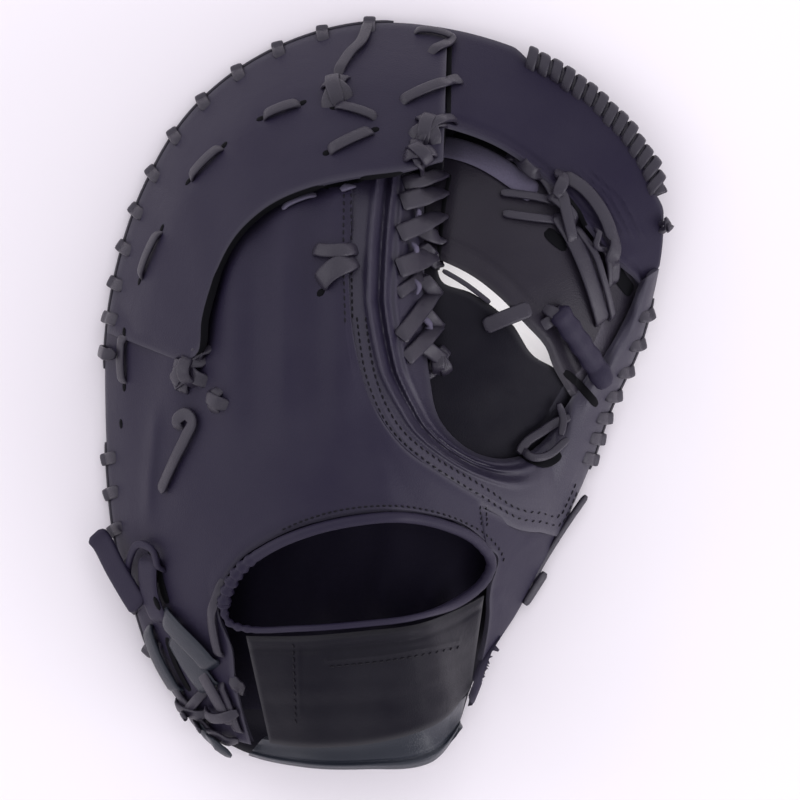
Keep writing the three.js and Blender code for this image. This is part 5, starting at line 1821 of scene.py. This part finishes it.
def add_lamp(name, place, turn, watts):
    """An area light at a place, turned as given."""
    light = bpy.data.lights.new(name, "AREA")
    light.energy = watts
    lamp = bpy.data.objects.new(name, light)
    lamp.location = place
    lamp.rotation_euler = turn
    bpy.context.collection.objects.link(lamp)
    return lamp


def make_lights():
    """Three softboxes round the mitt, and a small lamp that keeps the floor pale under the web."""
    for name, place, size, watts in SOFTBOXES:
        to_mitt = (-Vector(place)).to_track_quat("-Z", "Y").to_euler()
        lamp = add_lamp(name, place, to_mitt, watts)
        lamp.data.size = size
        lamp.data.color = linear_from_hex("#fbf8ff")
    place = [part * MM for part in FLOOR_LAMP_PLACE]
    under = add_lamp("floor_lamp", place, (0, 0, math.radians(FLOOR_LAMP_TURN)), FLOOR_LAMP_WATTS)
    under.data.shape = "RECTANGLE"
    under.data.size, under.data.size_y = (side * MM for side in FLOOR_LAMP_SIZE)
    under.visible_camera = False


def make_camera():
    """A camera that looks straight down from far off."""
    camera_data = bpy.data.cameras.new("overhead_camera")
    camera_data.sensor_width = SENSOR_WIDTH
    camera_data.lens = SENSOR_WIDTH * CAMERA_DISTANCE / (VIEW_WIDTH * MM)
    camera_data.clip_start = 0.1
    camera_data.clip_end = 100
    camera = bpy.data.objects.new("overhead_camera", camera_data)
    camera.location = (VIEW_MIDDLE[0] * MM, VIEW_MIDDLE[1] * MM, CAMERA_DISTANCE + CAMERA_OVER_ZERO)
    bpy.context.collection.objects.link(camera)
    bpy.context.scene.camera = camera
    bpy.context.scene.view_settings.view_transform = "Standard"


# Operators

class MITT_OT_stage(bpy.types.Operator):
    """Add the pale floor, the soft lights and the camera"""
    bl_idname = "mitt.stage"
    bl_label = "Stage"

    def execute(self, context):
        make_floor()
        make_room()
        make_lights()
        make_camera()
        return {"FINISHED"}


class MITT_OT_palm(bpy.types.Operator):
    """Add the palm with its pocket, and the lining inside it"""
    bl_idname = "mitt.palm"
    bl_label = "Palm"

    def execute(self, context):
        make_palm()
        make_lining()
        return {"FINISHED"}


class MITT_OT_back(bpy.types.Operator):
    """Add the panels of the back: the hand, the fingers and the thumb"""
    bl_idname = "mitt.back"
    bl_label = "Back Panels"

    def execute(self, context):
        make_hand_back()
        make_finger_back()
        make_thumb_back()
        return {"FINISHED"}


class MITT_OT_facing(bpy.types.Operator):
    """Add the facing round the crotch"""
    bl_idname = "mitt.facing"
    bl_label = "Crotch Facing"

    def execute(self, context):
        make_crotch_facing()
        return {"FINISHED"}


class MITT_OT_web(bpy.types.Operator):
    """Add the web: its two panels and its bar"""
    bl_idname = "mitt.web"
    bl_label = "Web"

    def execute(self, context):
        make_web_top()
        make_web_mid()
        make_web_bar()
        return {"FINISHED"}


class MITT_OT_wrist(bpy.types.Operator):
    """Add the wrist strap, the heel band and the binding of the opening"""
    bl_idname = "mitt.wrist"
    bl_label = "Wrist"

    def execute(self, context):
        make_wrist_strap()
        make_heel_band()
        make_wrist_binding()
        return {"FINISHED"}


class MITT_OT_finger_laces(bpy.types.Operator):
    """Add the short laces on the finger panel"""
    bl_idname = "mitt.finger_laces"
    bl_label = "Finger Laces"

    def execute(self, context):
        make_finger_laces()
        return {"FINISHED"}


class MITT_OT_rim_laces(bpy.types.Operator):
    """Add the laces round the rim"""
    bl_idname = "mitt.rim_laces"
    bl_label = "Rim Laces"

    def execute(self, context):
        make_rim_laces()
        return {"FINISHED"}


class MITT_OT_web_laces(bpy.types.Operator):
    """Add the laces of the web"""
    bl_idname = "mitt.web_laces"
    bl_label = "Web Laces"

    def execute(self, context):
        make_web_edge_wrap()
        make_web_column_lace()
        make_slit_pieces()
        make_pale_strips()
        make_crotch_loop()
        return {"FINISHED"}


class MITT_OT_knots(bpy.types.Operator):
    """Add the knots, the tails and the laces that lie on the leather"""
    bl_idname = "mitt.knots"
    bl_label = "Knots and Tails"

    def execute(self, context):
        make_laid_laces()
        make_knots()
        make_holes()
        make_thumb_laces()
        return {"FINISHED"}


class MITT_OT_adjusting_strap(bpy.types.Operator):
    """Add the adjusting strap with its loop and tab"""
    bl_idname = "mitt.adjusting_strap"
    bl_label = "Adjusting Strap"

    def execute(self, context):
        make_adjusting_strap()
        return {"FINISHED"}


class MITT_OT_stitching(bpy.types.Operator):
    """Add the rows of stitches"""
    bl_idname = "mitt.stitching"
    bl_label = "Stitching"

    def execute(self, context):
        make_stitching()
        return {"FINISHED"}


OPERATORS = (
    MITT_OT_stage, MITT_OT_palm, MITT_OT_back, MITT_OT_facing, MITT_OT_web, MITT_OT_wrist,
    MITT_OT_finger_laces, MITT_OT_rim_laces, MITT_OT_web_laces, MITT_OT_knots,
    MITT_OT_adjusting_strap, MITT_OT_stitching,
)


class MITT_PT_panel(bpy.types.Panel):
    """Sizes, colours and pieces of the mitt"""
    bl_idname = "MITT_PT_panel"
    bl_label = "First Baseman Mitt"
    bl_space_type = "VIEW_3D"
    bl_region_type = "UI"
    bl_category = "Mitt"

    def draw(self, context):
        for group in (context.scene.mitt_sizes, context.scene.mitt_colours):
            for name in group.__annotations__:
                self.layout.prop(group, name)
        for operator in OPERATORS:
            self.layout.operator(operator.bl_idname)


CLASSES = (MittSizes, MittColours, *OPERATORS, MITT_PT_panel)


def register():
    for cls in CLASSES:
        bpy.utils.register_class(cls)
    bpy.types.Scene.mitt_sizes = bpy.props.PointerProperty(type=MittSizes)
    bpy.types.Scene.mitt_colours = bpy.props.PointerProperty(type=MittColours)


def unregister():
    del bpy.types.Scene.mitt_colours
    del bpy.types.Scene.mitt_sizes
    for cls in reversed(CLASSES):
        bpy.utils.unregister_class(cls)


def main():
    register()
    for operator in OPERATORS:
        group, name = operator.bl_idname.split(".")
        getattr(getattr(bpy.ops, group), name)()


if __name__ == "__main__":
    main()
